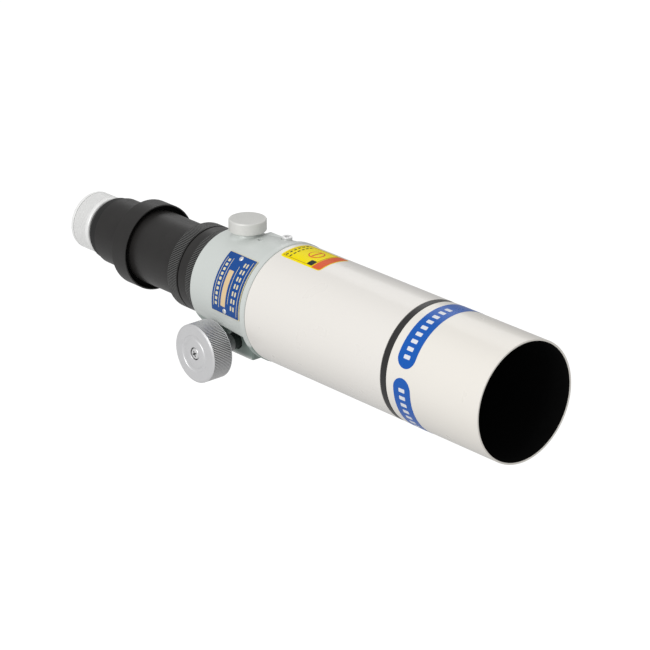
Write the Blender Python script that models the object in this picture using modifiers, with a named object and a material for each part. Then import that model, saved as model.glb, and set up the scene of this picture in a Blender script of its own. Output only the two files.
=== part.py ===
"""A small refracting telescope: optical tube, rack-and-pinion focuser and eyepiece holder.

Units are metres and +Z is up. +X runs along the optical axis towards the sky and the focusing
knobs lie along Y. The origin is on the optical axis, at the middle of the stretch of tube that
a tube holder clamps.
"""

import math

import bmesh
import bpy
from mathutils import Matrix

# Gap that is left between two pieces that touch on the real telescope.
GAP = 0.0003

# Facets round a turned piece, by its size.
BIG_STEPS = 32
KNOB_STEPS = 28
SMALL_STEPS = 16
SCREW_STEPS = 8
PLATE_STEPS = 12

# Optical tube: an 80 mm tube around a 60 mm lens.
TUBE_RADIUS = 0.040
TUBE_WALL = 0.0020
SHIELD_FRONT = 0.150
SHIELD_REAR = 0.0693
SHIELD_WALL = 0.0014
CELL_RING_FRONT = 0.0690
CELL_RING_REAR = 0.0641
TUBE_REAR = -0.0650

# Objective lenses.
LENS_RADIUS = 0.0310
LENS_CURVE_RADIUS = 0.200
FRONT_LENS_FRONT = 0.0725
FRONT_LENS_REAR = 0.0643
REAR_LENS_FRONT = 0.0629
REAR_LENS_REAR = 0.0584

# Focuser body, a casting that narrows to the rear.
LIP_FRONT = -0.0653
LIP_REAR = -0.0700
LIP_RADIUS = 0.0405
BODY_FRONT_RADIUS = 0.0396
BODY_REAR = -0.1276
BODY_REAR_RADIUS = 0.0340
BODY_BORE = 0.0283

# Drawtube and its rack.
DRAWTUBE_RADIUS = 0.0262
DRAWTUBE_WALL = 0.0024
DRAWTUBE_FRONT = -0.0380
DRAWTUBE_REAR = -0.1430
RACK_FRONT = -0.0600
RACK_REAR = -0.1100
RACK_WIDTH = 0.0064
RACK_BACK = -0.0253
RACK_SHANK_RADIUS = 0.0010

# Pinion: module 0.5 mm with 18 teeth, so its pitch radius is 4.5 mm.
PINION_X = -0.1000
PINION_Z = -0.03195
MODULE = 0.0005
PINION_TEETH = 18
PITCH_RADIUS = MODULE * PINION_TEETH / 2
TOOTH_PITCH = math.pi * MODULE
PRESSURE_ANGLE = math.radians(20)
TOOTH_HALF_WIDTH = 0.00033
DEDENDUM = 1.2 * MODULE
PINION_HALF_LENGTH = 0.0030
SHAFT_RADIUS = 0.0025
SHAFT_HALF_LENGTH = 0.0470

# Focusing knobs.
KNOB_RADIUS = 0.0198
KNOB_FACE = 0.0534
KNOB_BACK = 0.0374
KNOB_HUB_RADIUS = 0.0060
KNOB_HUB_END = 0.0232
KNOB_FLOOR = 0.0517

# Pinion housing under the casting.
HOUSING_FRONT = -0.0832
HOUSING_REAR = -0.1180
HOUSING_HALF_WIDTH = 0.0180
HOUSING_BOTTOM = -0.0420
BEARING_RADIUS = 0.0054
COVER_HALF_LENGTH = 0.0130
COVER_HALF_WIDTH = 0.0140
COVER_TOP = -0.0400

# The barrel's lower flanks are cut away beside the housing, down to a round core.
FLANK_TOP = -0.0165
FLANK_FRONT = -0.0702
FLANK_REAR = -0.1090
FLANK_CORE_RADIUS = 0.0312

# Lock screw and knob on top of the casting.
LOCK_X = -0.1084
LOCK_KNOB_RADIUS = 0.0126
LOCK_KNOB_BOTTOM = 0.0389
LOCK_KNOB_TOP = 0.0469
LOCK_STUD_RADIUS = 0.0025
LOCK_PAD_TOP = 0.0285
BOSS_TOP = 0.0383
BOSS_RADIUS = 0.0093

# Foot for a finder bracket and the small screws of the casting.
FOOT_FRONT = -0.0760
FOOT_REAR = -0.1015
FOOT_SIDE = 0.0140
FOOT_TOP = 0.0362
FOOT_SCREW_X = -0.0812
FOOT_SCREW_Y = 0.0105
TENSION_SCREW_X = -0.0920
TENSION_SCREW_Y = -0.0030

# Name plate, a rectangle bent round the casting. Angles run from +Y towards +Z.
PLATE_FRONT = -0.0706
PLATE_REAR = -0.1015
PLATE_MIDDLE = math.radians(155.1)
PLATE_WIDTH = 0.0418
PLATE_LIFT = 0.00015
PLATE_THICKNESS = 0.0006
PLATE_SCREW_X = -0.0862
PLATE_SCREW_ANGLES = (math.radians(128.0), math.radians(182.4))

# Pieces behind the drawtube.
COLLAR_RADIUS = 0.0298
COLLAR_FRONT = -0.1279
COLLAR_REAR = -0.1455
COUPLING_FRONT = -0.1466
COUPLING_REAR = -0.1568
EXTENSION_RADIUS = 0.0255
EXTENSION_WALL = 0.0027
EXTENSION_FRONT = -0.1469
EXTENSION_REAR = -0.2107
FLANGE_RADIUS = 0.0300
FLANGE_FRONT = -0.2014
FLANGE_REAR = -0.2160
NECK_RADIUS = 0.0234
NECK_REAR = -0.2436
ADAPTER_FRONT = -0.2333
ADAPTER_REAR = -0.2546
EYEPIECE_BORE = 0.01595
SPIGOT_RADIUS = 0.0179
SPIGOT_REAR = -0.2660
CLAMP_RADIUS = 0.0203
CLAMP_FRONT = -0.2549
CLAMP_REAR = -0.2735

TURN = {
    "+X": Matrix.Rotation(math.pi / 2, 4, "Y"),
    "+Y": Matrix.Rotation(-math.pi / 2, 4, "X"),
    "-Y": Matrix.Rotation(math.pi / 2, 4, "X"),
    "+Z": Matrix.Identity(4),
    "-Z": Matrix.Rotation(math.pi, 4, "X"),
}


def clear_scene():
    for obj in list(bpy.data.objects):
        bpy.data.objects.remove(obj, do_unlink=True)


def new_collection(name):
    collection = bpy.data.collections.new(name)
    bpy.context.scene.collection.children.link(collection)
    return collection


def make_look(name, colour, roughness, metallic=0.0, transmission=0.0):
    look = bpy.data.materials.new(name)
    look.use_nodes = True
    shader = look.node_tree.nodes["Principled BSDF"]
    shader.inputs["Base Color"].default_value = (*colour, 1.0)
    shader.inputs["Roughness"].default_value = roughness
    shader.inputs["Metallic"].default_value = metallic
    shader.inputs["Transmission Weight"].default_value = transmission
    look.diffuse_color = (*colour, 1.0)
    return look


def radial(angle):
    """Turns local +Z to point away from the optical axis, at an angle from +Y towards +Z."""
    return Matrix.Rotation(angle - math.pi / 2, 4, "X")


def conical_radius(x):
    """Radius of the casting's tapered outside at x."""
    part = (x - BODY_REAR) / (LIP_REAR - BODY_REAR)
    return BODY_REAR_RADIUS + part * (BODY_FRONT_RADIUS - BODY_REAR_RADIUS)


def add_object(name, data, look):
    """Links a piece, or a cutter when it has no look."""
    obj = bpy.data.objects.new(name, data)
    if look is None:
        CUTTERS.objects.link(obj)
        obj.hide_render = True
        obj.display_type = "WIRE"
    else:
        PIECES.objects.link(obj)
        own = look.copy()
        own.name = name
        obj.data.materials.append(own)
    return obj


def turned(name, look, outline, turn=TURN["+X"], place=(0, 0, 0), steps=BIG_STEPS):
    """Turns an outline of (along, radius) points round local Z.

    The outline runs down the outer side, from the greatest place along the axis to the least,
    and then back up the inner side. A solid piece starts and ends on the axis.
    """
    count = len(outline)
    hollow = min(radius for _, radius in outline) > 0
    edges = [(i, (i + 1) % count) for i in range(count if hollow else count - 1)]
    mesh = bpy.data.meshes.new(name)
    mesh.from_pydata([(radius, 0, along) for along, radius in outline], edges, [])
    obj = add_object(name, mesh, look)
    obj.matrix_world = Matrix.Translation(place) @ turn
    screw = obj.modifiers.new("Turn", "SCREW")
    screw.steps = steps
    screw.render_steps = steps
    screw.use_merge_vertices = True
    screw.merge_threshold = 1e-5
    screw.use_smooth_shade = True
    return obj


def rod(name, look, bottom, top, radius, turn, place, steps=SMALL_STEPS):
    outline = [(top, 0), (top, radius), (bottom, radius), (bottom, 0)]
    return turned(name, look, outline, turn, place, steps)


def box(name, look, low, high, bevel=0.0):
    """A block between two corners, with its edges rounded off."""
    mesh = bpy.data.meshes.new(name)
    shape = bmesh.new()
    bmesh.ops.create_cube(shape, size=1.0)
    size = [b - a for a, b in zip(low, high)]
    bmesh.ops.scale(shape, vec=size, verts=shape.verts)
    shape.to_mesh(mesh)
    shape.free()
    obj = add_object(name, mesh, look)
    obj.location = [(a + b) / 2 for a, b in zip(low, high)]
    if bevel:
        edge = obj.modifiers.new("Round", "BEVEL")
        edge.width = bevel
        edge.segments = 2
    return obj


def combine(obj, others, operation="DIFFERENCE", solver="EXACT"):
    for other in others:
        step = obj.modifiers.new(other.name, "BOOLEAN")
        step.operation = operation
        step.object = other
        step.solver = solver
    return obj


def flat_outline(name, look, loops, half_thickness, turn, place):
    """An extruded 2D outline. The first loop is the outside and the others are holes."""
    curve = bpy.data.curves.new(name, "CURVE")
    curve.dimensions = "2D"
    curve.fill_mode = "BOTH"
    curve.extrude = half_thickness
    for loop in loops:
        spline = curve.splines.new("POLY")
        spline.points.add(len(loop) - 1)
        for point, (u, v) in zip(spline.points, loop):
            point.co = (u, v, 0, 1)
        spline.use_cyclic_u = True
    obj = add_object(name, curve, look)
    obj.matrix_world = Matrix.Translation(place) @ turn
    return obj


def as_mesh(obj):
    """Makes a curve object a mesh object with its caps welded on, so that it can be cut."""
    bpy.context.view_layer.update()
    graph = bpy.context.evaluated_depsgraph_get()
    mesh = bpy.data.meshes.new_from_object(obj.evaluated_get(graph))
    shape = bmesh.new()
    shape.from_mesh(mesh)
    bmesh.ops.remove_doubles(shape, verts=shape.verts, dist=1e-6)
    shape.to_mesh(mesh)
    shape.free()
    name, place = obj.name, obj.matrix_world.copy()
    bpy.data.objects.remove(obj)
    meshed = bpy.data.objects.new(name, mesh)
    PIECES.objects.link(meshed)
    meshed.matrix_world = place
    return meshed


def circle(radius, count):
    turns = [2 * math.pi * i / count for i in range(count)]
    return [(radius * math.cos(t), radius * math.sin(t)) for t in turns]


def pan_screw(name, turn, place, seat, head_radius, head_height, shank_radius, depth):
    """A screw whose head stands on the height seat above place, with its shank below."""
    top = seat + head_height
    outline = [
        (top, 0),
        (top, 0.75 * head_radius),
        (top - 0.4 * head_height, head_radius),
        (seat, head_radius),
        (seat, shank_radius),
        (seat - depth, shank_radius),
        (seat - depth, 0),
    ]
    return turned(name, STEEL, outline, turn, place, SCREW_STEPS)


def lens_arc(vertex, sign, count=3):
    """Points from the rim to the axis of a spherical lens face whose centre point is at vertex.

    With sign +1 the rim lies ahead of the vertex, towards the sky.
    """
    points = []
    for i in range(count + 1):
        radius = LENS_RADIUS * (count - i) / count
        sag = LENS_CURVE_RADIUS - math.sqrt(LENS_CURVE_RADIUS**2 - radius**2)
        points.append((vertex + sign * sag, radius))
    return points


def dew_shield():
    inner = TUBE_RADIUS - SHIELD_WALL
    edge = 0.0004
    outline = [
        (SHIELD_FRONT, TUBE_RADIUS - edge),
        (SHIELD_FRONT - edge, TUBE_RADIUS),
        (SHIELD_REAR + edge, TUBE_RADIUS),
        (SHIELD_REAR, TUBE_RADIUS - edge),
        (SHIELD_REAR, inner),
        (SHIELD_FRONT, inner),
    ]
    turned("dew_shield", WHITE, outline)


def lens_cell():
    spigot_front, shield_seat = 0.0780, 0.0382
    ring_seat, ring_shelf = 0.0340, 0.0703
    pocket, pocket_floor = 0.0314, 0.0581
    aperture, rear_end = 0.0298, 0.0500
    tube_seat = TUBE_RADIUS - TUBE_WALL - 0.0004
    outline = [
        (spigot_front, shield_seat),
        (CELL_RING_FRONT, shield_seat),
        (CELL_RING_FRONT, TUBE_RADIUS),
        (CELL_RING_REAR, TUBE_RADIUS),
        (CELL_RING_REAR, tube_seat),
        (rear_end, tube_seat),
        (rear_end, aperture),
        (pocket_floor, aperture),
        (pocket_floor, pocket),
        (ring_shelf, pocket),
        (ring_shelf, ring_seat),
        (spigot_front, ring_seat),
    ]
    turned("lens_cell", BLACK, outline)


def objective():
    """Two lenses, the spacer between their rims and the ring that holds them in the cell."""
    front = lens_arc(FRONT_LENS_FRONT, -1)[::-1] + lens_arc(FRONT_LENS_REAR, 1)
    turned("objective_front_lens", GLASS, front, steps=KNOB_STEPS)
    rear_face = [(REAR_LENS_REAR, LENS_RADIUS), (REAR_LENS_REAR, 0)]
    rear = lens_arc(REAR_LENS_FRONT, 1)[::-1] + rear_face
    turned("objective_rear_lens", GLASS, rear, steps=KNOB_STEPS)
    spacer_inner, spacer_front, spacer_rear = 0.0303, 0.0663, 0.0657
    spacer = [
        (spacer_front, LENS_RADIUS),
        (spacer_rear, LENS_RADIUS),
        (spacer_rear, spacer_inner),
        (spacer_front, spacer_inner),
    ]
    turned("lens_spacer", BLACK, spacer, steps=KNOB_STEPS)
    ring_outer, ring_inner, ring_front, ring_rear = 0.0337, 0.0302, 0.0740, 0.0706
    ring = [
        (ring_front, ring_outer),
        (ring_rear, ring_outer),
        (ring_rear, ring_inner),
        (ring_front - 0.0012, ring_inner),
        (ring_front, ring_inner + 0.0012),
    ]
    turned("lens_retaining_ring", BLACK, ring, steps=KNOB_STEPS)


def main_tube():
    front = CELL_RING_REAR - GAP
    inner = TUBE_RADIUS - TUBE_WALL
    edge = 0.0003
    outline = [
        (front, TUBE_RADIUS - edge),
        (front - edge, TUBE_RADIUS),
        (TUBE_REAR + edge, TUBE_RADIUS),
        (TUBE_REAR, TUBE_RADIUS - edge),
        (TUBE_REAR, inner),
        (front, inner),
    ]
    turned("main_tube", WHITE, outline)


def tube_baffles():
    """Two rings that stop stray light, each with a short sleeve that is glued in the tube."""
    outer = TUBE_RADIUS - TUBE_WALL - GAP
    sleeve, web, wall = 0.0060, 0.0010, 0.0010
    for name, front, aperture in (
        ("tube_baffle_front", 0.0240, 0.0285),
        ("tube_baffle_rear", -0.0140, 0.0255),
    ):
        outline = [
            (front, outer),
            (front - sleeve, outer),
            (front - sleeve, outer - wall),
            (front - web, outer - wall),
            (front - web, aperture),
            (front, aperture),
        ]
        turned(name, BLACK, outline, steps=KNOB_STEPS)


def focuser_body():
    """The casting: a tapered barrel with a pinion housing, a lock boss and a finder foot."""
    spigot_front, spigot_radius, spigot_bore = -0.0550, 0.0376, 0.0340
    web_front, edge = -0.0670, 0.0005
    barrel = [
        (spigot_front, 0),
        (spigot_front, spigot_radius),
        (LIP_FRONT, spigot_radius),
        (LIP_FRONT, TUBE_RADIUS),
        (LIP_FRONT - edge, LIP_RADIUS),
        (LIP_REAR + edge, LIP_RADIUS),
        (LIP_REAR, BODY_FRONT_RADIUS),
        (BODY_REAR + edge, conical_radius(BODY_REAR + edge)),
        (BODY_REAR, BODY_REAR_RADIUS - edge),
        (BODY_REAR, 0),
    ]
    body = turned("focuser_body", GREEN, barrel)
    core_outline = [
        (LIP_FRONT, 0),
        (LIP_FRONT, FLANK_CORE_RADIUS),
        (BODY_REAR, FLANK_CORE_RADIUS),
        (BODY_REAR, 0),
    ]
    core = turned("flank_core", None, core_outline)
    flank_half = 0.0150
    for name, near, far in (
        ("flank_cut_left", flank_half, TUBE_RADIUS),
        ("flank_cut_right", -TUBE_RADIUS, -flank_half),
    ):
        cut = box(name, None, (FLANK_REAR, near, -TUBE_RADIUS), (FLANK_FRONT, far, FLANK_TOP))
        combine(body, [combine(cut, [core])])

    # The added blocks start inside the barrel's wall, where the bore is cut later.
    inside = 0.0200
    housing = box(
        "housing_block",
        None,
        (HOUSING_REAR, -HOUSING_HALF_WIDTH, HOUSING_BOTTOM),
        (HOUSING_FRONT, HOUSING_HALF_WIDTH, -inside),
        bevel=0.0016,
    )
    foot = box(
        "foot_block",
        None,
        (FOOT_REAR, 0, inside),
        (FOOT_FRONT, FOOT_SIDE, FOOT_TOP),
        bevel=0.0008,
    )
    neck_bottom, foot_top, flare = BOSS_TOP - 0.0018, 0.0340, 0.0021
    boss_outline = [
        (BOSS_TOP, 0),
        (BOSS_TOP, BOSS_RADIUS - edge),
        (BOSS_TOP - edge, BOSS_RADIUS),
        (neck_bottom, BOSS_RADIUS + 0.0003),
        (foot_top, BOSS_RADIUS + flare),
        (inside, BOSS_RADIUS + flare),
        (inside, 0),
    ]
    boss = turned("boss_block", None, boss_outline, TURN["+Z"], (LOCK_X, 0, 0), KNOB_STEPS)
    combine(body, (housing, foot, boss), "UNION")

    beyond = 0.0020
    bore_outline = [
        (spigot_front + beyond, 0),
        (spigot_front + beyond, spigot_bore),
        (web_front, spigot_bore),
        (LIP_REAR, BODY_BORE),
        (BODY_REAR - beyond, BODY_BORE),
        (BODY_REAR - beyond, 0),
    ]
    channel_half, channel_bottom = 0.0042, -0.0291
    pocket_length, pocket_width, pocket_top = 0.0076, 0.0125, -0.0270
    pinion_place = (PINION_X, 0, PINION_Z)
    bearing_bore = (-TUBE_RADIUS, TUBE_RADIUS, BEARING_RADIUS + GAP)
    cover_edge = COVER_HALF_LENGTH + GAP
    cuts = [
        turned("bore_cut", None, bore_outline),
        box(
            "channel_cut",
            None,
            (BODY_REAR - beyond, -channel_half, channel_bottom),
            (web_front, channel_half, -inside),
        ),
        rod("bearing_bore_cut", None, *bearing_bore, TURN["+Y"], pinion_place, KNOB_STEPS),
        box(
            "pocket_cut",
            None,
            (PINION_X - pocket_length, -pocket_width, COVER_TOP - 0.0010),
            (PINION_X + pocket_length, pocket_width, pocket_top),
        ),
        box(
            "cover_cut",
            None,
            (PINION_X - cover_edge, -COVER_HALF_WIDTH - GAP, HOUSING_BOTTOM - beyond),
            (PINION_X + cover_edge, COVER_HALF_WIDTH + GAP, COVER_TOP + GAP),
        ),
    ]
    thread_top, thread_bottom, thread_radius = -0.0330, -0.0430, 0.0015
    for x, y, name in cover_screw_places():
        place = (x, y, 0)
        thread = (None, thread_bottom, thread_top, thread_radius)
        cuts.append(rod(name + "_cut", *thread, TURN["+Z"], place, SCREW_STEPS))
    above = 0.0450
    tension_place = (TENSION_SCREW_X, TENSION_SCREW_Y, 0)
    foot_place = (FOOT_SCREW_X, FOOT_SCREW_Y, 0)
    for name, bottom, radius, place in (
        ("lock_cut", inside, 0.0032, (LOCK_X, 0, 0)),
        ("tension_cut", 0.0255, 0.0018, tension_place),
        ("foot_seat_cut", FOOT_TOP, 0.0041, foot_place),
        ("foot_hole_cut", 0.0290, 0.0023, foot_place),
    ):
        cuts.append(rod(name, None, bottom, above, radius, TURN["+Z"], place))
    hole_radius, hole_depth = 0.0011, 0.0040
    for number, angle in enumerate(PLATE_SCREW_ANGLES, 1):
        bottom = conical_radius(PLATE_SCREW_X) - hole_depth
        place = (PLATE_SCREW_X, 0, 0)
        name = f"plate_hole_cut_{number}"
        cuts.append(rod(name, None, bottom, above, hole_radius, radial(angle), place, SCREW_STEPS))
    combine(body, cuts)


def guide_rings():
    """Two slotted sleeves in the casting that the drawtube slides in."""
    outer, inner, slot_half = BODY_BORE - GAP, DRAWTUBE_RADIUS + GAP, 0.0040
    slot = box(
        "guide_slot_cut",
        None,
        (BODY_REAR - 0.0020, -slot_half, -TUBE_RADIUS),
        (LIP_REAR, slot_half, 0),
    )
    for name, front, rear in (
        ("guide_ring_front", -0.0730, -0.0850),
        ("guide_ring_rear", -0.1150, -0.1270),
    ):
        outline = [(front, outer), (rear, outer), (rear, inner), (front, inner)]
        combine(turned(name, BLACK, outline), [slot])


def cover_screw_places():
    across, along = 0.0110, 0.0105
    places = []
    for i, (x_side, y_side) in enumerate(((1, -1), (1, 1), (-1, -1), (-1, 1)), 1):
        places.append((PINION_X + x_side * along, y_side * across, f"pinion_cover_screw_{i}"))
    return places


def pinion_cover():
    """The plate that closes the pinion housing from below, and its four screws."""
    plate = box(
        "pinion_cover",
        GREEN,
        (PINION_X - COVER_HALF_LENGTH, -COVER_HALF_WIDTH, HOUSING_BOTTOM),
        (PINION_X + COVER_HALF_LENGTH, COVER_HALF_WIDTH, COVER_TOP),
    )
    head_radius, head_height, shank_radius, shank_length = 0.0022, 0.0010, 0.0012, 0.0060
    recess = HOUSING_BOTTOM + head_height + GAP
    below, inside = HOUSING_BOTTOM - 0.0040, COVER_TOP + 0.0040
    hole_radius, seat_radius = shank_radius + GAP, head_radius + GAP
    head = (-recess + GAP, head_radius, head_height, shank_radius, shank_length)
    for x, y, name in cover_screw_places():
        place = (x, y, 0)
        for end, top, radius in (("_hole", inside, hole_radius), ("_seat", recess, seat_radius)):
            cut = rod(name + end, None, below, top, radius, TURN["+Z"], place, SCREW_STEPS)
            combine(plate, [cut])
        pan_screw(name, TURN["-Z"], place, *head)


def pinion_bearings():
    """Two black sleeves through the housing's sides that the pinion shaft turns in."""
    inner_end, outer_end, edge = 0.0070, KNOB_HUB_END - GAP, 0.0004
    bore = SHAFT_RADIUS + GAP
    outline = [
        (outer_end, BEARING_RADIUS - edge),
        (outer_end - edge, BEARING_RADIUS),
        (inner_end, BEARING_RADIUS),
        (inner_end, bore),
        (outer_end, bore),
    ]
    place = (PINION_X, 0, PINION_Z)
    for name, turn in (("pinion_bearing_left", TURN["+Y"]), ("pinion_bearing_right", TURN["-Y"])):
        turned(name, BLACK, outline, turn, place, KNOB_STEPS)


def drawtube():
    inner = DRAWTUBE_RADIUS - DRAWTUBE_WALL
    outline = [
        (DRAWTUBE_FRONT, DRAWTUBE_RADIUS),
        (DRAWTUBE_REAR, DRAWTUBE_RADIUS),
        (DRAWTUBE_REAR, inner),
        (DRAWTUBE_FRONT, inner),
    ]
    half = RACK_WIDTH / 2 + GAP
    cuts = [
        box(
            "rack_seat_cut",
            None,
            (RACK_REAR - GAP, -half, -BODY_BORE),
            (RACK_FRONT + GAP, half, RACK_BACK + GAP),
        )
    ]
    for name, x in rack_screw_places():
        cuts.append(rack_screw_hole(name + "_hole", x))
    combine(turned("drawtube", CHROME, outline), cuts)


def rack_screw_places():
    inset = 0.0060
    return [
        ("rack_screw_front", RACK_FRONT - inset),
        ("rack_screw_rear", RACK_REAR + inset),
    ]


def rack_screw_hole(name, x):
    """A hole from inside the drawtube that stops short of the rack's teeth."""
    bottom, top, radius = -0.0266, -0.0200, RACK_SHANK_RADIUS + GAP
    return rod(name, None, bottom, top, radius, TURN["+Z"], (x, 0, 0), SCREW_STEPS)


def rack():
    """A toothed bar under the drawtube. A gap between two teeth is centred over the pinion."""
    pitch_line = PINION_Z + PITCH_RADIUS
    tip, root = pitch_line - MODULE, pitch_line + DEDENDUM
    slope = math.tan(PRESSURE_ANGLE)
    tip_half = TOOTH_HALF_WIDTH - slope * MODULE
    root_half = TOOTH_HALF_WIDTH + slope * DEDENDUM
    first = math.ceil((RACK_REAR + root_half - PINION_X) / TOOTH_PITCH - 0.5)
    last = math.floor((RACK_FRONT - root_half - PINION_X) / TOOTH_PITCH - 0.5)
    outline = [(RACK_FRONT, root), (RACK_FRONT, RACK_BACK), (RACK_REAR, RACK_BACK)]
    outline.append((RACK_REAR, root))
    for number in range(first, last + 1):
        centre = PINION_X + (number + 0.5) * TOOTH_PITCH
        for offset, height in ((-root_half, root), (-tip_half, tip), (tip_half, tip), (root_half, root)):
            outline.append((centre + offset, height))
    half = RACK_WIDTH / 2
    bar = as_mesh(flat_outline("drawtube_rack", STEEL, [outline], half, TURN["-Y"], (0, 0, 0)))
    head_seat = -(DRAWTUBE_RADIUS - DRAWTUBE_WALL) + GAP
    head = (head_seat, 0.0020, 0.0011, RACK_SHANK_RADIUS, 0.0028)
    for name, x in rack_screw_places():
        # The exact solver leaves this bar open.
        combine(bar, [rack_screw_hole(name + "_seat", x)], solver="MANIFOLD")
        pan_screw(name, TURN["+Z"], (x, 0, 0), *head)


def pinion():
    """The toothed pinion on its shaft, which runs across under the drawtube."""
    base_radius = PITCH_RADIUS * math.cos(PRESSURE_ANGLE)
    root_radius = PITCH_RADIUS - DEDENDUM
    flank_radii = [root_radius] + [
        base_radius + (PITCH_RADIUS + MODULE - base_radius) * i / 2 for i in range(3)
    ]

    def half_angle(radius):
        """Half the angle that an involute tooth fills at a radius."""
        swing = math.acos(min(1.0, base_radius / radius))
        involute = math.tan(swing) - swing
        at_pitch = math.tan(PRESSURE_ANGLE) - PRESSURE_ANGLE
        return TOOTH_HALF_WIDTH / PITCH_RADIUS + at_pitch - involute

    flank = [(radius, half_angle(radius)) for radius in flank_radii]
    teeth = []
    for number in range(PINION_TEETH):
        middle = math.pi / 2 + 2 * math.pi * number / PINION_TEETH
        for radius, angle in flank:
            teeth.append((radius * math.cos(middle - angle), radius * math.sin(middle - angle)))
        for radius, angle in reversed(flank):
            teeth.append((radius * math.cos(middle + angle), radius * math.sin(middle + angle)))
    place = (PINION_X, 0, PINION_Z)
    bore = circle(SHAFT_RADIUS + GAP, SMALL_STEPS)[::-1]
    flat_outline("pinion_gear", STEEL, [teeth, bore], PINION_HALF_LENGTH, TURN["-Y"], place)

    end, hole, depth = SHAFT_HALF_LENGTH, 0.0018, 0.0090
    chamfer = 0.0003
    shaft = [
        (end, 0),
        (end, SHAFT_RADIUS - chamfer),
        (end - chamfer, SHAFT_RADIUS),
        (chamfer - end, SHAFT_RADIUS),
        (-end, SHAFT_RADIUS - chamfer),
        (-end, 0),
    ]
    bar = turned("pinion_shaft", STEEL, shaft, TURN["+Y"], place, SMALL_STEPS)
    for name, turn in (("left", TURN["+Y"]), ("right", TURN["-Y"])):
        cut = rod(
            f"shaft_end_{name}_cut", None, end - depth, end + 0.001, hole, turn, place, SCREW_STEPS
        )
        combine(bar, [cut])


def focus_knobs():
    """Two turned knobs with a grooved face, each held on the shaft by a sunk screw."""
    bore, screw_hole, sink_radius = SHAFT_RADIUS + GAP, 0.0021, 0.0043
    groove_depth, groove_inner, groove_outer, slope = 0.0008, 0.0100, 0.0124, 0.0008
    edge = 0.0008
    outline = [
        (KNOB_FLOOR, screw_hole),
        (KNOB_FLOOR, sink_radius),
        (KNOB_FACE, sink_radius),
        (KNOB_FACE, groove_inner - slope),
        (KNOB_FACE - groove_depth, groove_inner),
        (KNOB_FACE - groove_depth, groove_outer),
        (KNOB_FACE, groove_outer + slope),
        (KNOB_FACE, KNOB_RADIUS - edge),
        (KNOB_FACE - edge, KNOB_RADIUS),
        (KNOB_BACK, KNOB_RADIUS),
        (KNOB_BACK, KNOB_HUB_RADIUS),
        (KNOB_HUB_END, KNOB_HUB_RADIUS),
        (KNOB_HUB_END, bore),
        (SHAFT_HALF_LENGTH + GAP, bore),
        (SHAFT_HALF_LENGTH + GAP, screw_hole),
    ]
    place = (PINION_X, 0, PINION_Z)
    head_radius, head_height, shank, depth = 0.0037, 0.0014, 0.0014, 0.0100
    for side, turn in (("left", TURN["+Y"]), ("right", TURN["-Y"])):
        turned(f"focus_knob_{side}", SILVER, outline, turn, place, KNOB_STEPS)
        name = f"focus_knob_screw_{side}"
        pan_screw(name, turn, place, KNOB_FLOOR + GAP, head_radius, head_height, shank, depth)


def drawtube_lock():
    """Knob, stud and brass pad that clamp the drawtube from above."""
    edge, bore_top = 0.0007, 0.0440
    bore = LOCK_STUD_RADIUS + GAP
    outline = [
        (LOCK_KNOB_TOP, 0),
        (LOCK_KNOB_TOP, LOCK_KNOB_RADIUS - edge),
        (LOCK_KNOB_TOP - edge, LOCK_KNOB_RADIUS),
        (LOCK_KNOB_BOTTOM, LOCK_KNOB_RADIUS),
        (LOCK_KNOB_BOTTOM, bore),
        (bore_top, bore),
        (bore_top, 0),
    ]
    place = (LOCK_X, 0, 0)
    turned("lock_knob", SILVER, outline, TURN["+Z"], place, KNOB_STEPS)
    pad_bottom, pad_radius = DRAWTUBE_RADIUS + GAP, 0.0028
    stud_bottom, stud_top = LOCK_PAD_TOP + GAP, bore_top - GAP
    rod("lock_stud", STEEL, stud_bottom, stud_top, LOCK_STUD_RADIUS, TURN["+Z"], place)
    rod("lock_pad", BRASS, pad_bottom, LOCK_PAD_TOP, pad_radius, TURN["+Z"], place)


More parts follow.
